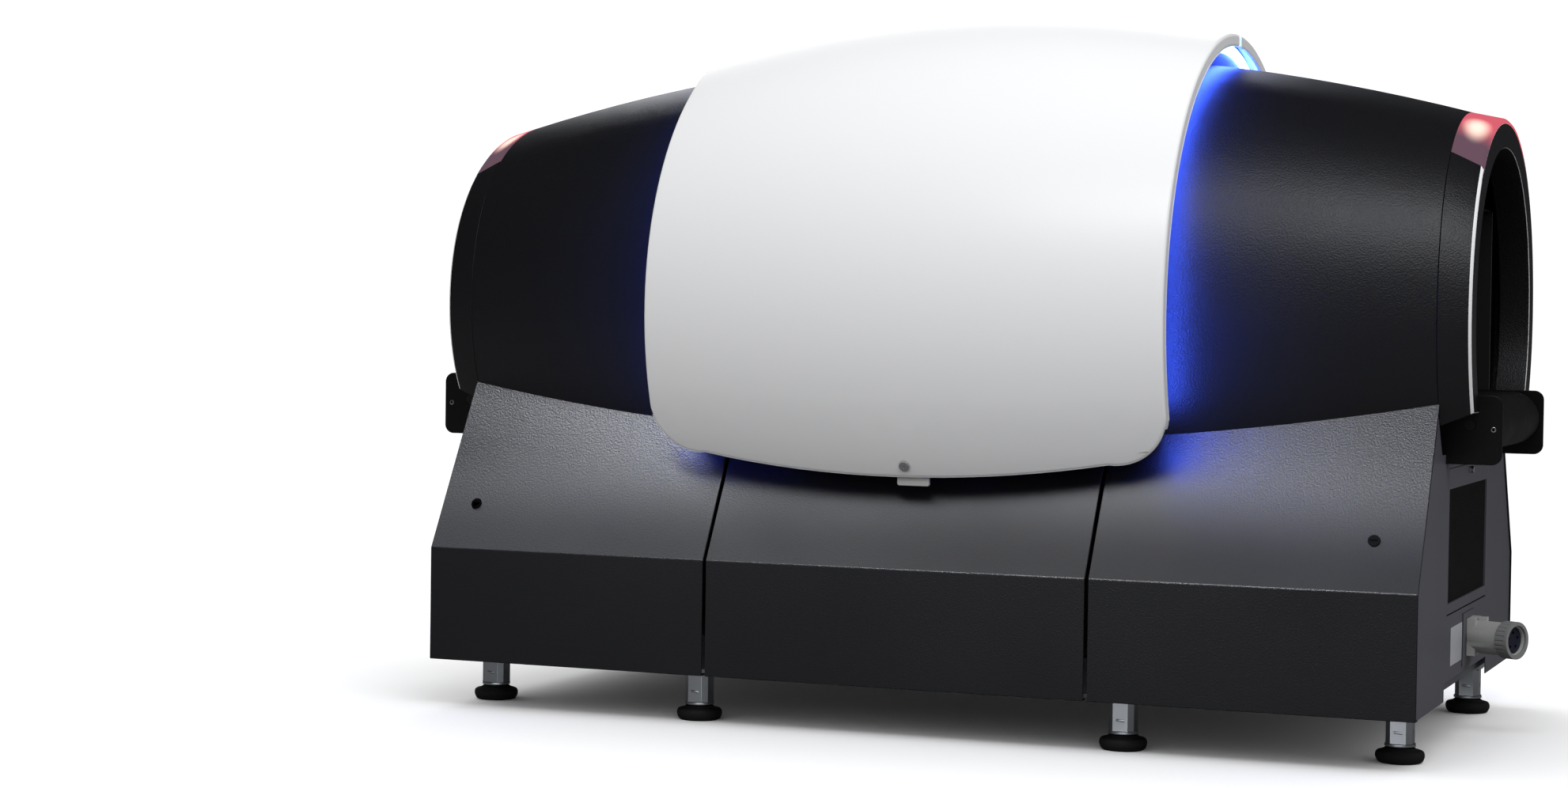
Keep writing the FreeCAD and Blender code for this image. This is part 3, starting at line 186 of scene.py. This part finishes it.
def eased(name, material, width, body="casing", steps=2, sharp=40, whole=True):
    """A merged copy of a CAD piece with its sharp edges broken, kept inside the piece's own box."""
    bpy.ops.object.select_all(action="DESELECT")
    piece = bpy.data.objects.new(name + "_skin", nodes[name].data.copy())
    bpy.context.collection.objects.link(piece)
    bpy.context.view_layer.objects.active = piece
    piece.select_set(True)
    bpy.ops.object.mode_set(mode="EDIT")
    bpy.ops.mesh.select_all(action="SELECT")
    bpy.ops.mesh.customdata_custom_splitnormals_clear()
    bpy.ops.mesh.remove_doubles(threshold=MERGE_DISTANCE)
    if whole:
        bpy.ops.mesh.dissolve_limited(angle_limit=FLAT_WITHIN)
    bpy.ops.object.mode_set(mode="OBJECT")
    edge = piece.modifiers.new("edge", "BEVEL")
    edge.width = width
    edge.segments = steps
    edge.limit_method = "ANGLE"
    edge.angle_limit = math.radians(sharp)
    edge.use_clamp_overlap = False
    bpy.ops.object.modifier_apply(modifier="edge")
    low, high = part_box(name)
    for point in piece.data.vertices:
        point.co = [min(max(p, a), b) for p, a, b in zip(point.co, low, high)]
    bpy.ops.object.shade_smooth_by_angle(angle=math.radians(sharp))
    level_faces = piece.modifiers.new("level_faces", "WEIGHTED_NORMAL")
    level_faces.keep_sharp = True
    level_faces.weight = FACE_WEIGHT
    bpy.ops.object.modifier_apply(modifier="level_faces")
    piece.data.materials.clear()
    piece.data.materials.append(material)
    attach(piece, body)
    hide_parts(name)
    return piece


def finish_nodes(material, *names):
    """Give CAD nodes a material."""
    for name in names:
        mesh = nodes[name].data
        mesh.materials.clear()
        mesh.materials.append(material)


frame_paint = moulded("frame_paint", (0.10, 0.11, 0.12), 0.48, 900, 0.25, 0.12)
eased("base_frame", frame_paint, 0.003)

# ---- levelling feet -----------------------------------------------------------------------------
# Eight bright zinc housings, turned and flanged, stand on round rubber pads. A locknut holds each
# at its set height, and bolts through the flange hold it to the chassis tube.


METAL_SHADE = 0.12


def metal(name, colour, roughness, streak, depth=0.12):
    """Bare or plated metal with fine directional scratches and patches of duller shine."""
    material = bpy.data.materials.new(name)
    material.use_nodes = True
    tree = material.node_tree
    skin = tree.nodes["Principled BSDF"]
    skin.inputs["Metallic"].default_value = 1.0
    place = tree.nodes.new("ShaderNodeTexCoord")
    stretch = tree.nodes.new("ShaderNodeMapping")
    stretch.inputs["Scale"].default_value = streak
    scratch = tree.nodes.new("ShaderNodeTexNoise")
    scratch.inputs["Scale"].default_value = 1.0
    scratch.inputs["Detail"].default_value = 5
    cloud = tree.nodes.new("ShaderNodeTexNoise")
    cloud.inputs["Scale"].default_value = 14
    cloud.inputs["Detail"].default_value = 3
    tint = tree.nodes.new("ShaderNodeMix")
    tint.data_type = "RGBA"
    tint.inputs["A"].default_value = (*[c * (1 - METAL_SHADE) for c in colour], 1)
    tint.inputs["B"].default_value = (*[min(1, c * (1 + METAL_SHADE)) for c in colour], 1)
    gloss = tree.nodes.new("ShaderNodeMapRange")
    gloss.inputs["To Min"].default_value = roughness - 0.1
    gloss.inputs["To Max"].default_value = roughness + 0.14
    bump = tree.nodes.new("ShaderNodeBump")
    bump.inputs["Strength"].default_value = depth
    bump.inputs["Distance"].default_value = SCRATCH_HEIGHT
    tree.links.new(place.outputs["Object"], stretch.inputs["Vector"])
    tree.links.new(stretch.outputs["Vector"], scratch.inputs["Vector"])
    tree.links.new(place.outputs["Object"], cloud.inputs["Vector"])
    tree.links.new(cloud.outputs["Fac"], tint.inputs["Factor"])
    tree.links.new(scratch.outputs["Fac"], gloss.inputs["Value"])
    tree.links.new(scratch.outputs["Fac"], bump.inputs["Height"])
    tree.links.new(tint.outputs["Result"], skin.inputs["Base Color"])
    tree.links.new(gloss.outputs["Result"], skin.inputs["Roughness"])
    tree.links.new(bump.outputs["Normal"], skin.inputs["Normal"])
    return material


zinc = metal("zinc_plate", (0.66, 0.69, 0.71), 0.34, (90, 90, 1400))
foot_lit.objects.link(eased("foot_housings", zinc, 0.0012, whole=False))
rubber = moulded("rubber", (0.010, 0.010, 0.011), 0.62, 260, 0.8, 0.4, 0.4)
eased("foot_pads", rubber, 0.003, steps=3, sharp=22)

# ---- control unit, drive motor and mains inlet ---------------------------------------------------
# A sheet-steel computer and power box stands on the deck. The mains inlet is a grey moulded
# appliance plug on a flange, with a ribbed ring that turns to lock the connector, and a navy face.
eased("control_unit", frame_paint, 0.004)
cast = metal("cast_aluminium", (0.55, 0.56, 0.58), 0.46, (300, 300, 300), 0.3)
eased("drive_motor", cast, 0.0015)
grey_plastic = moulded("grey_plastic", (0.36, 0.36, 0.35), 0.5, 500, 0.25, 0.06)
eased("inlet_body", grey_plastic, 0.0012)
ring_grey = moulded("ring_grey", (0.20, 0.20, 0.20), 0.5, 500, 0.3, 0.1)
eased("inlet_ring", ring_grey, 0.0010, "inlet_ring_body")
navy = moulded("navy_plastic", (0.006, 0.008, 0.022), 0.35, 300, 0.1, 0.1)
finish_nodes(navy, "inlet_face")

# ---- base panels and their locks -----------------------------------------------------------------
# Six black vacuum-formed panels clad the chassis, grained like fine leather, with rounded creases.
# Each end panel of a row is held by a black quarter-turn lock. The slopes get duller towards the
# crease, and the skirts below it keep the plain gloss.
black_moulding = moulded("black_moulding", (0.0042, 0.0042, 0.0052), 0.37, 280, 0.9, 0.45, 0.62)
CREASE_Z, DULL_Z0, DULL_Z1, DULL_MOST = 0.377, 0.40, 0.63, 0.42
tree = black_moulding.node_tree
skin = tree.nodes["Principled BSDF"]
height = tree.nodes.new("ShaderNodeSeparateXYZ")
duller = tree.nodes.new("ShaderNodeMapRange")
duller.interpolation_type = "SMOOTHSTEP"
duller.inputs["From Min"].default_value = DULL_Z0
duller.inputs["From Max"].default_value = DULL_Z1
duller.inputs["To Min"].default_value = DULL_MOST
duller.inputs["To Max"].default_value = 0.0
above = tree.nodes.new("ShaderNodeMath")
above.operation = "GREATER_THAN"
above.inputs[1].default_value = CREASE_Z
gloss = tree.nodes.new("ShaderNodeMath")
gloss.operation = "MULTIPLY_ADD"
tree.links.new(tree.nodes["Texture Coordinate"].outputs["Object"], height.inputs["Vector"])
tree.links.new(height.outputs["Z"], duller.inputs["Value"])
tree.links.new(height.outputs["Z"], above.inputs[0])
tree.links.new(duller.outputs["Result"], gloss.inputs[0])
tree.links.new(above.outputs["Value"], gloss.inputs[1])
tree.links.new(tree.nodes["Map Range"].outputs["Result"], gloss.inputs[2])
tree.links.new(gloss.outputs["Value"], skin.inputs["Roughness"])
for side in ("front", "rear"):
    for bay in ("left", "centre", "right"):
        panel = eased("base_panel_%s_%s" % (side, bay), black_moulding, 0.0022, steps=3, sharp=30)
        slope_lit.objects.link(panel)
lock_black = moulded("lock_black", (0.003, 0.003, 0.003), 0.45, 300, 0.1, 0.2, 0.12)
for side in ("front", "rear"):
    for end in ("left", "right"):
        eased("panel_lock_%s_%s" % (side, end), lock_black, 0.0009, "lock_%s_%s" % (side, end))

# ---- end panels, filter door and inlet flange ----------------------------------------------------
# Folded sheet steel in satin graphite powder coat. The right panel holds a filter door that tips
# out on two pins at its foot, with a woven black filter behind its frame and a turn latch above.
graphite = moulded("graphite_paint", (0.040, 0.040, 0.047), 0.42, 900, 0.5, 0.2, 0.5)
eased("end_panel_left", graphite, 0.0012)
for name, body in (("end_panel_right", "casing"), ("inlet_plate", "casing"), ("filter_door", "door")):
    sheet = eased(name, graphite, 0.0008, body, whole=False)
    end_lit.objects.link(sheet)
bright_steel = metal("bright_steel", (0.72, 0.72, 0.72), 0.22, (500, 500, 500), 0.1)
eased("door_latch", bright_steel, 0.0008, "latch")

weave = bpy.data.materials.new("filter_black")
weave.use_nodes = True
tree = weave.node_tree
skin = tree.nodes["Principled BSDF"]
skin.inputs["Specular IOR Level"].default_value = 0.3
skin.inputs["Roughness"].default_value = 0.8
place = tree.nodes.new("ShaderNodeTexCoord")
threads = []
for axis in ("Y", "Z"):
    thread = tree.nodes.new("ShaderNodeTexWave")
    thread.bands_direction = axis
    thread.inputs["Scale"].default_value = 85
    tree.links.new(place.outputs["Object"], thread.inputs["Vector"])
    threads.append(thread)
cross = tree.nodes.new("ShaderNodeMath")
cross.operation = "MULTIPLY"
dye = tree.nodes.new("ShaderNodeMix")
dye.data_type = "RGBA"
dye.inputs["A"].default_value = (0.002, 0.002, 0.002, 1)
dye.inputs["B"].default_value = (0.018, 0.018, 0.02, 1)
bump = tree.nodes.new("ShaderNodeBump")
bump.inputs["Strength"].default_value = 0.8
bump.inputs["Distance"].default_value = 0.001
tree.links.new(threads[0].outputs["Fac"], cross.inputs[0])
tree.links.new(threads[1].outputs["Fac"], cross.inputs[1])
tree.links.new(cross.outputs["Value"], dye.inputs["Factor"])
tree.links.new(cross.outputs["Value"], bump.inputs["Height"])
tree.links.new(dye.outputs["Result"], skin.inputs["Base Color"])
tree.links.new(bump.outputs["Normal"], skin.inputs["Normal"])
finish_nodes(weave, "filter_mesh")

# ---- rating plate --------------------------------------------------------------------------------
# A blank silver film plate beside the inlet, 0.4 mm thick, stuck on the end panel.
LABEL_Y, LABEL_Z, LABEL_THICK, LABEL_EDGE = (-0.215, -0.064), (0.183, 0.267), 0.0004, 0.00012
face_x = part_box("end_panel_right")[1].x
bpy.ops.object.select_all(action="DESELECT")
label_centre = (face_x + LABEL_THICK / 2, sum(LABEL_Y) / 2, sum(LABEL_Z) / 2)
bpy.ops.mesh.primitive_cube_add(size=1, location=label_centre)
label = bpy.context.object
label.name = "rating_plate"
label.scale = (LABEL_THICK, LABEL_Y[1] - LABEL_Y[0], LABEL_Z[1] - LABEL_Z[0])
bpy.ops.object.transform_apply(location=True, rotation=True, scale=True)
bpy.ops.object.mode_set(mode="EDIT")
bpy.ops.mesh.select_all(action="SELECT")
bpy.ops.mesh.bevel(offset=LABEL_EDGE, segments=2)
bpy.ops.object.mode_set(mode="OBJECT")
film = moulded("label_film", (0.42, 0.43, 0.45), 0.32, 60, 0.02, 0.12)
label.data.materials.append(film)
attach(label, "casing")

# ---- conveyor ------------------------------------------------------------------------------------
# A black ribbed rubber belt runs over a steel slider bed between two drums. Painted side plates
# carry the drum shafts, and a bright socket screw near each plate's end holds the shaft block.
belt = bpy.data.materials.new("belt_rubber")
belt.use_nodes = True
tree = belt.node_tree
skin = tree.nodes["Principled BSDF"]
skin.inputs["Specular IOR Level"].default_value = 0.35
skin.inputs["Base Color"].default_value = (0.007, 0.007, 0.008, 1)
place = tree.nodes.new("ShaderNodeTexCoord")
rib = tree.nodes.new("ShaderNodeTexWave")
rib.bands_direction = "Y"
rib.inputs["Scale"].default_value = 60
scuff = tree.nodes.new("ShaderNodeTexNoise")
scuff.inputs["Scale"].default_value = 9
scuff.inputs["Detail"].default_value = 6
worn = tree.nodes.new("ShaderNodeMapRange")
worn.inputs["To Min"].default_value = 0.42
worn.inputs["To Max"].default_value = 0.8
bump = tree.nodes.new("ShaderNodeBump")
bump.inputs["Strength"].default_value = 0.6
bump.inputs["Distance"].default_value = 0.0008
for texture in (rib, scuff):
    tree.links.new(place.outputs["Object"], texture.inputs["Vector"])
tree.links.new(scuff.outputs["Fac"], worn.inputs["Value"])
tree.links.new(worn.outputs["Result"], skin.inputs["Roughness"])
tree.links.new(rib.outputs["Fac"], bump.inputs["Height"])
tree.links.new(bump.outputs["Normal"], skin.inputs["Normal"])
finish_nodes(belt, "conveyor_belt")
black_steel = moulded("black_steel", (0.0035, 0.0035, 0.004), 0.36, 800, 0.3, 0.2, 0.4)
eased("conveyor_side_plates", black_steel, 0.0015, steps=3)
finish_nodes(frame_paint, "conveyor_bed")
finish_nodes(rubber, "drive_drum", "tail_drum")


HEAD_ROUNDING, RECESS_INSET, RECESS_DEPTH = 0.35, 0.28, 0.5   # shares of the head's height, radius, height


def socket_screw(name, place, outward, head_radius, head_height, body="casing"):
    """Round socket screw centred on a face, so that half its head stands proud, with a round recess."""
    bpy.ops.object.select_all(action="DESELECT")
    bpy.ops.mesh.primitive_cylinder_add(vertices=36, radius=head_radius, depth=head_height,
                                        location=(0, 0, head_height / 2))
    screw = bpy.context.object
    screw.name = name
    bpy.ops.object.mode_set(mode="EDIT")
    bpy.ops.mesh.select_all(action="DESELECT")
    bpy.ops.object.mode_set(mode="OBJECT")
    for face in screw.data.polygons:
        face.select = face.normal.z > 0.9
    bpy.ops.object.mode_set(mode="EDIT")
    bpy.ops.mesh.bevel(offset=head_height * HEAD_ROUNDING, segments=3)
    bpy.ops.mesh.select_all(action="DESELECT")
    bpy.ops.object.mode_set(mode="OBJECT")
    top = max(screw.data.polygons, key=lambda f: f.center.z * 1000 + f.area)
    top.select = True
    bpy.ops.object.mode_set(mode="EDIT")
    bpy.ops.mesh.inset(thickness=head_radius * RECESS_INSET)
    bpy.ops.mesh.extrude_region_move(TRANSFORM_OT_translate={"value": (0, 0, -head_height * RECESS_DEPTH)})
    bpy.ops.object.mode_set(mode="OBJECT")
    screw.rotation_euler = Vector(outward).to_track_quat("Z", "Y").to_euler()
    screw.location = place
    bpy.ops.object.transform_apply(location=True, rotation=True, scale=True)
    bpy.ops.object.shade_smooth_by_angle(angle=math.radians(35))
    screw.data.materials.append(bright_steel)
    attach(screw, body)
    return screw


plate_low, plate_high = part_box("conveyor_side_plates")
SCREW_FROM_END, SCREW_Z, SCREW_RADIUS, SCREW_HEIGHT = 0.019, 0.706, 0.0062, 0.004
for end, x in (("left", plate_low.x + SCREW_FROM_END), ("right", plate_high.x - SCREW_FROM_END)):
    for side, y, out in (("front", plate_low.y, -1), ("rear", plate_high.y, 1)):
        screw_name = "plate_screw_%s_%s" % (side, end)
        socket_screw(screw_name, (x, y, SCREW_Z), (0, out, 0), SCREW_RADIUS, SCREW_HEIGHT)

# ---- tunnel --------------------------------------------------------------------------------------
# A folded liner lines the bore from end to end, bare steel at its end edges. Black plates close the
# mouths around it.
liner_paint = moulded("liner_paint", (0.012, 0.012, 0.013), 0.5, 300, 0.1, 0.1, 0.25)
liner = eased("tunnel_liner", liner_paint, 0.0004, whole=False)
liner.data.materials.append(bright_steel)
LIP_DEPTH = 0.001
liner_end = max(v.co.x for v in liner.data.vertices)
for face in liner.data.polygons:
    if abs(face.center.x) > liner_end - LIP_DEPTH:
        face.material_index = 1
finish_nodes(black_steel, "mouth_plates")

# ---- gantry --------------------------------------------------------------------------------------
# A thick steel ring plate carries the main bearing. The cast drum spins in it with the tube, its
# tank and cooler, and the detector arc, and takes power from copper tracks through brushes. Rings
# of socket screws hold the race to the plate and the parts to the drum's disc.
eased("gantry_frame", frame_paint, 0.002)
eased("rotor_drum", cast, 0.002, "rotor")
finish_nodes(bright_steel, "main_bearing_race", "hinge_pins", "drive_pulley")
eased("xray_tube", metal("tube_housing", (0.62, 0.60, 0.55), 0.35, (200, 200, 200)), 0.0015, "rotor")
eased("voltage_tank", moulded("tank_enamel", (0.42, 0.42, 0.40), 0.35, 200, 0.1, 0.05), 0.004, "rotor", 3)
eased("rotor_cooler", cast, 0.002, "rotor")
eased("detector_array", moulded("detector_blue", (0.03, 0.06, 0.12), 0.45, 300, 0.15, 0.1), 0.0015, "rotor")
finish_nodes(metal("slip_copper", (0.78, 0.45, 0.22), 0.25, (900, 40, 40)), "slip_ring")
finish_nodes(lock_black, "brush_block")
finish_nodes(rubber, "drive_belt")
AXIS_Z, HEAD_RADIUS, HEAD_HEIGHT = 0.942, 0.009, 0.007
STATOR_FACE_X, STATOR_CIRCLE = -0.275, 0.577
DISC_FACE_X, DISC_CIRCLE = 0.010, 0.565
PART_ROOM = 0.02
rotor_parts = [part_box(part) for part in ("xray_tube", "voltage_tank", "rotor_cooler", "detector_array")]


def bolt_circle(name, x, outward, radius, angles, body):
    """A ring of socket screws about the gantry axis as one piece; on +X faces it skips the rotor's parts."""
    screws = []
    for angle in angles:
        turn = math.radians(angle)
        place = Vector((x, radius * math.cos(turn), AXIS_Z + radius * math.sin(turn)))
        if outward < 0 or not any(low.y - PART_ROOM < place.y < high.y + PART_ROOM
                                  and low.z - PART_ROOM < place.z < high.z + PART_ROOM
                                  for low, high in rotor_parts):
            screws.append(socket_screw(name, place, (outward, 0, 0), HEAD_RADIUS, HEAD_HEIGHT, body))
    bpy.ops.object.select_all(action="DESELECT")
    for screw in screws:
        screw.select_set(True)
    bpy.context.view_layer.objects.active = screws[0]
    bpy.ops.object.join()


bolt_circle("bearing_bolts", STATOR_FACE_X, -1, STATOR_CIRCLE, range(-15, 196, 15), "casing")
bolt_circle("drum_bolts", -DISC_FACE_X, -1, DISC_CIRCLE, range(0, 360, 12), "rotor")
bolt_circle("disc_bolts", DISC_FACE_X, 1, DISC_CIRCLE, range(0, 360, 12), "rotor")

# ---- hoods and collars ---------------------------------------------------------------------------
# The hoods narrow from the covers to the mouths, in the same grained black plastic as the base.
# A collar closes each end, with a thin light-grey painted highlight on the rounded edge of its mouth.
hood_moulding = moulded("hood_moulding", (0.0042, 0.0042, 0.0052), 0.41, 280, 0.9, 0.45, 0.6)
rim_highlight_paint = moulded("rim_highlight_paint", (0.74, 0.74, 0.75), 0.35, 500, 0.1, 0.08)
RIM_DEPTH, RIM_SLANT = 0.0075, (0.15, 0.93)
for side in ("left", "right"):
    eased("hood_" + side, hood_moulding, 0.0015, steps=2, sharp=40)
    collar = eased("collar_" + side, hood_moulding, 0.0016, steps=3, sharp=40)
    # The collar's second material is a light-grey painted highlight, given to the slanted faces round its
    # mouth below.
    collar.data.materials.append(rim_highlight_paint)
    rim_x = max(abs(v.co.x) for v in collar.data.vertices)
    for face in collar.data.polygons:
        if abs(face.center.x) > rim_x - RIM_DEPTH and RIM_SLANT[0] < abs(face.normal.x) < RIM_SLANT[1]:
            face.material_index = 1

# ---- indicator lenses ----------------------------------------------------------------------------
# Frosted pink lenses arch over the collars. Lamps behind them make a warm spot on each shoulder.
# The feet, out of the lamps' reach, get a faint lavender-grey painted glow in place of room light.
SPOT_Y, SPOT_SIZE, FADE_Y = 0.212, (0.036, 0.075), (0.20, 0.34)
for side in ("left", "right"):
    low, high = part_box("indicator_lens_" + side)
    glow = bpy.data.materials.new("indicator_lens_" + side)
    glow.use_nodes = True
    tree = glow.node_tree
    skin = tree.nodes["Principled BSDF"]
    skin.inputs["Base Color"].default_value = (0.04, 0.02, 0.025, 1)
    skin.inputs["Roughness"].default_value = 0.3
    skin.inputs["Emission Strength"].default_value = 1.0
    place = tree.nodes.new("ShaderNodeTexCoord")
    fold = tree.nodes.new("ShaderNodeVectorMath")
    fold.operation = "ABSOLUTE"
    aim = tree.nodes.new("ShaderNodeMapping")
    centre_x = abs(low.x + high.x) / 2
    aim.inputs["Location"].default_value = (-centre_x / SPOT_SIZE[0], -SPOT_Y / SPOT_SIZE[1], 0)
    aim.inputs["Scale"].default_value = (1 / SPOT_SIZE[0], 1 / SPOT_SIZE[1], 0)
    spot = tree.nodes.new("ShaderNodeTexGradient")
    spot.gradient_type = "SPHERICAL"
    flare = tree.nodes.new("ShaderNodeValToRGB")
    flare.color_ramp.elements[0].color = (0, 0, 0, 1)
    flare.color_ramp.elements[1].position = 0.85
    flare.color_ramp.elements[1].color = (0.95, 0.85, 0.66, 1)
    flare.color_ramp.interpolation = "EASE"
    apart = tree.nodes.new("ShaderNodeSeparateXYZ")
    along = tree.nodes.new("ShaderNodeMapRange")
    along.inputs["From Min"].default_value = FADE_Y[0]
    along.inputs["From Max"].default_value = FADE_Y[1]
    # Emission colour along the lens: lamp red over crown and shoulders, fading to the painted lavender-grey
    # glow on the feet.
    base = tree.nodes.new("ShaderNodeValToRGB")
    base.color_ramp.elements[0].color = (0.68, 0.10, 0.14, 1)
    base.color_ramp.elements[1].position = 0.55
    base.color_ramp.elements[1].color = (0.10, 0.055, 0.08, 1)
    total = tree.nodes.new("ShaderNodeMix")
    total.data_type = "RGBA"
    total.blend_type = "ADD"
    total.inputs["Factor"].default_value = 1.0
    tree.links.new(place.outputs["Object"], fold.inputs[0])
    tree.links.new(fold.outputs["Vector"], aim.inputs["Vector"])
    tree.links.new(aim.outputs["Vector"], spot.inputs["Vector"])
    tree.links.new(spot.outputs["Fac"], flare.inputs["Fac"])
    tree.links.new(fold.outputs["Vector"], apart.inputs["Vector"])
    tree.links.new(apart.outputs["Y"], along.inputs["Value"])
    tree.links.new(along.outputs["Result"], base.inputs["Fac"])
    tree.links.new(base.outputs["Color"], total.inputs["A"])
    tree.links.new(flare.outputs["Color"], total.inputs["B"])
    tree.links.new(total.outputs["Result"], skin.inputs["Emission Color"])
    finish_nodes(glow, "indicator_lens_" + side)

# ---- blue light rings ----------------------------------------------------------------------------
# Blue LED strips sit on plates in the gap between each cover edge and its hood, and wash the hood.
finish_nodes(black_steel, "light_ring_plates")
LED_STRENGTH = 55.0
led = bpy.data.materials.new("light_strip")
led.use_nodes = True
tree = led.node_tree
skin = tree.nodes["Principled BSDF"]
skin.inputs["Base Color"].default_value = (0.5, 0.7, 1.0, 1)
skin.inputs["Emission Strength"].default_value = LED_STRENGTH
place = tree.nodes.new("ShaderNodeTexCoord")
dots = tree.nodes.new("ShaderNodeTexNoise")
dots.inputs["Scale"].default_value = 40
shades = tree.nodes.new("ShaderNodeMix")
shades.data_type = "RGBA"
shades.inputs["A"].default_value = (0.035, 0.08, 1.0, 1)
shades.inputs["B"].default_value = (0.06, 0.14, 1.0, 1)
tree.links.new(place.outputs["Object"], dots.inputs["Vector"])
tree.links.new(dots.outputs["Fac"], shades.inputs["Factor"])
tree.links.new(shades.outputs["Result"], skin.inputs["Emission Color"])
finish_nodes(led, "light_strips")

# ---- gantry covers -------------------------------------------------------------------------------
# Two bowed satin white shells with rolled edges meet at the crown and swing up on hinge straps.
# Each has a chromed key lock near its lower edge and a grey pull tab below it.
COVER_ROLL = 0.0062
white_satin = moulded("white_moulding", (0.77, 0.77, 0.77), 0.36, 260, 0.04, 0.012, 0.5)
for side in ("front", "rear"):
    body = side + "_cover_body"
    eased(side + "_cover", white_satin, COVER_ROLL, body, 4, 50)
    eased(side + "_hinge_straps", zinc, 0.001, body)
    eased(side + "_cover_lock", bright_steel, 0.0008, side + "_key")
    eased(side + "_pull_tab", grey_plastic, 0.0015, body)
finish_nodes(frame_paint, "hinge_rail")
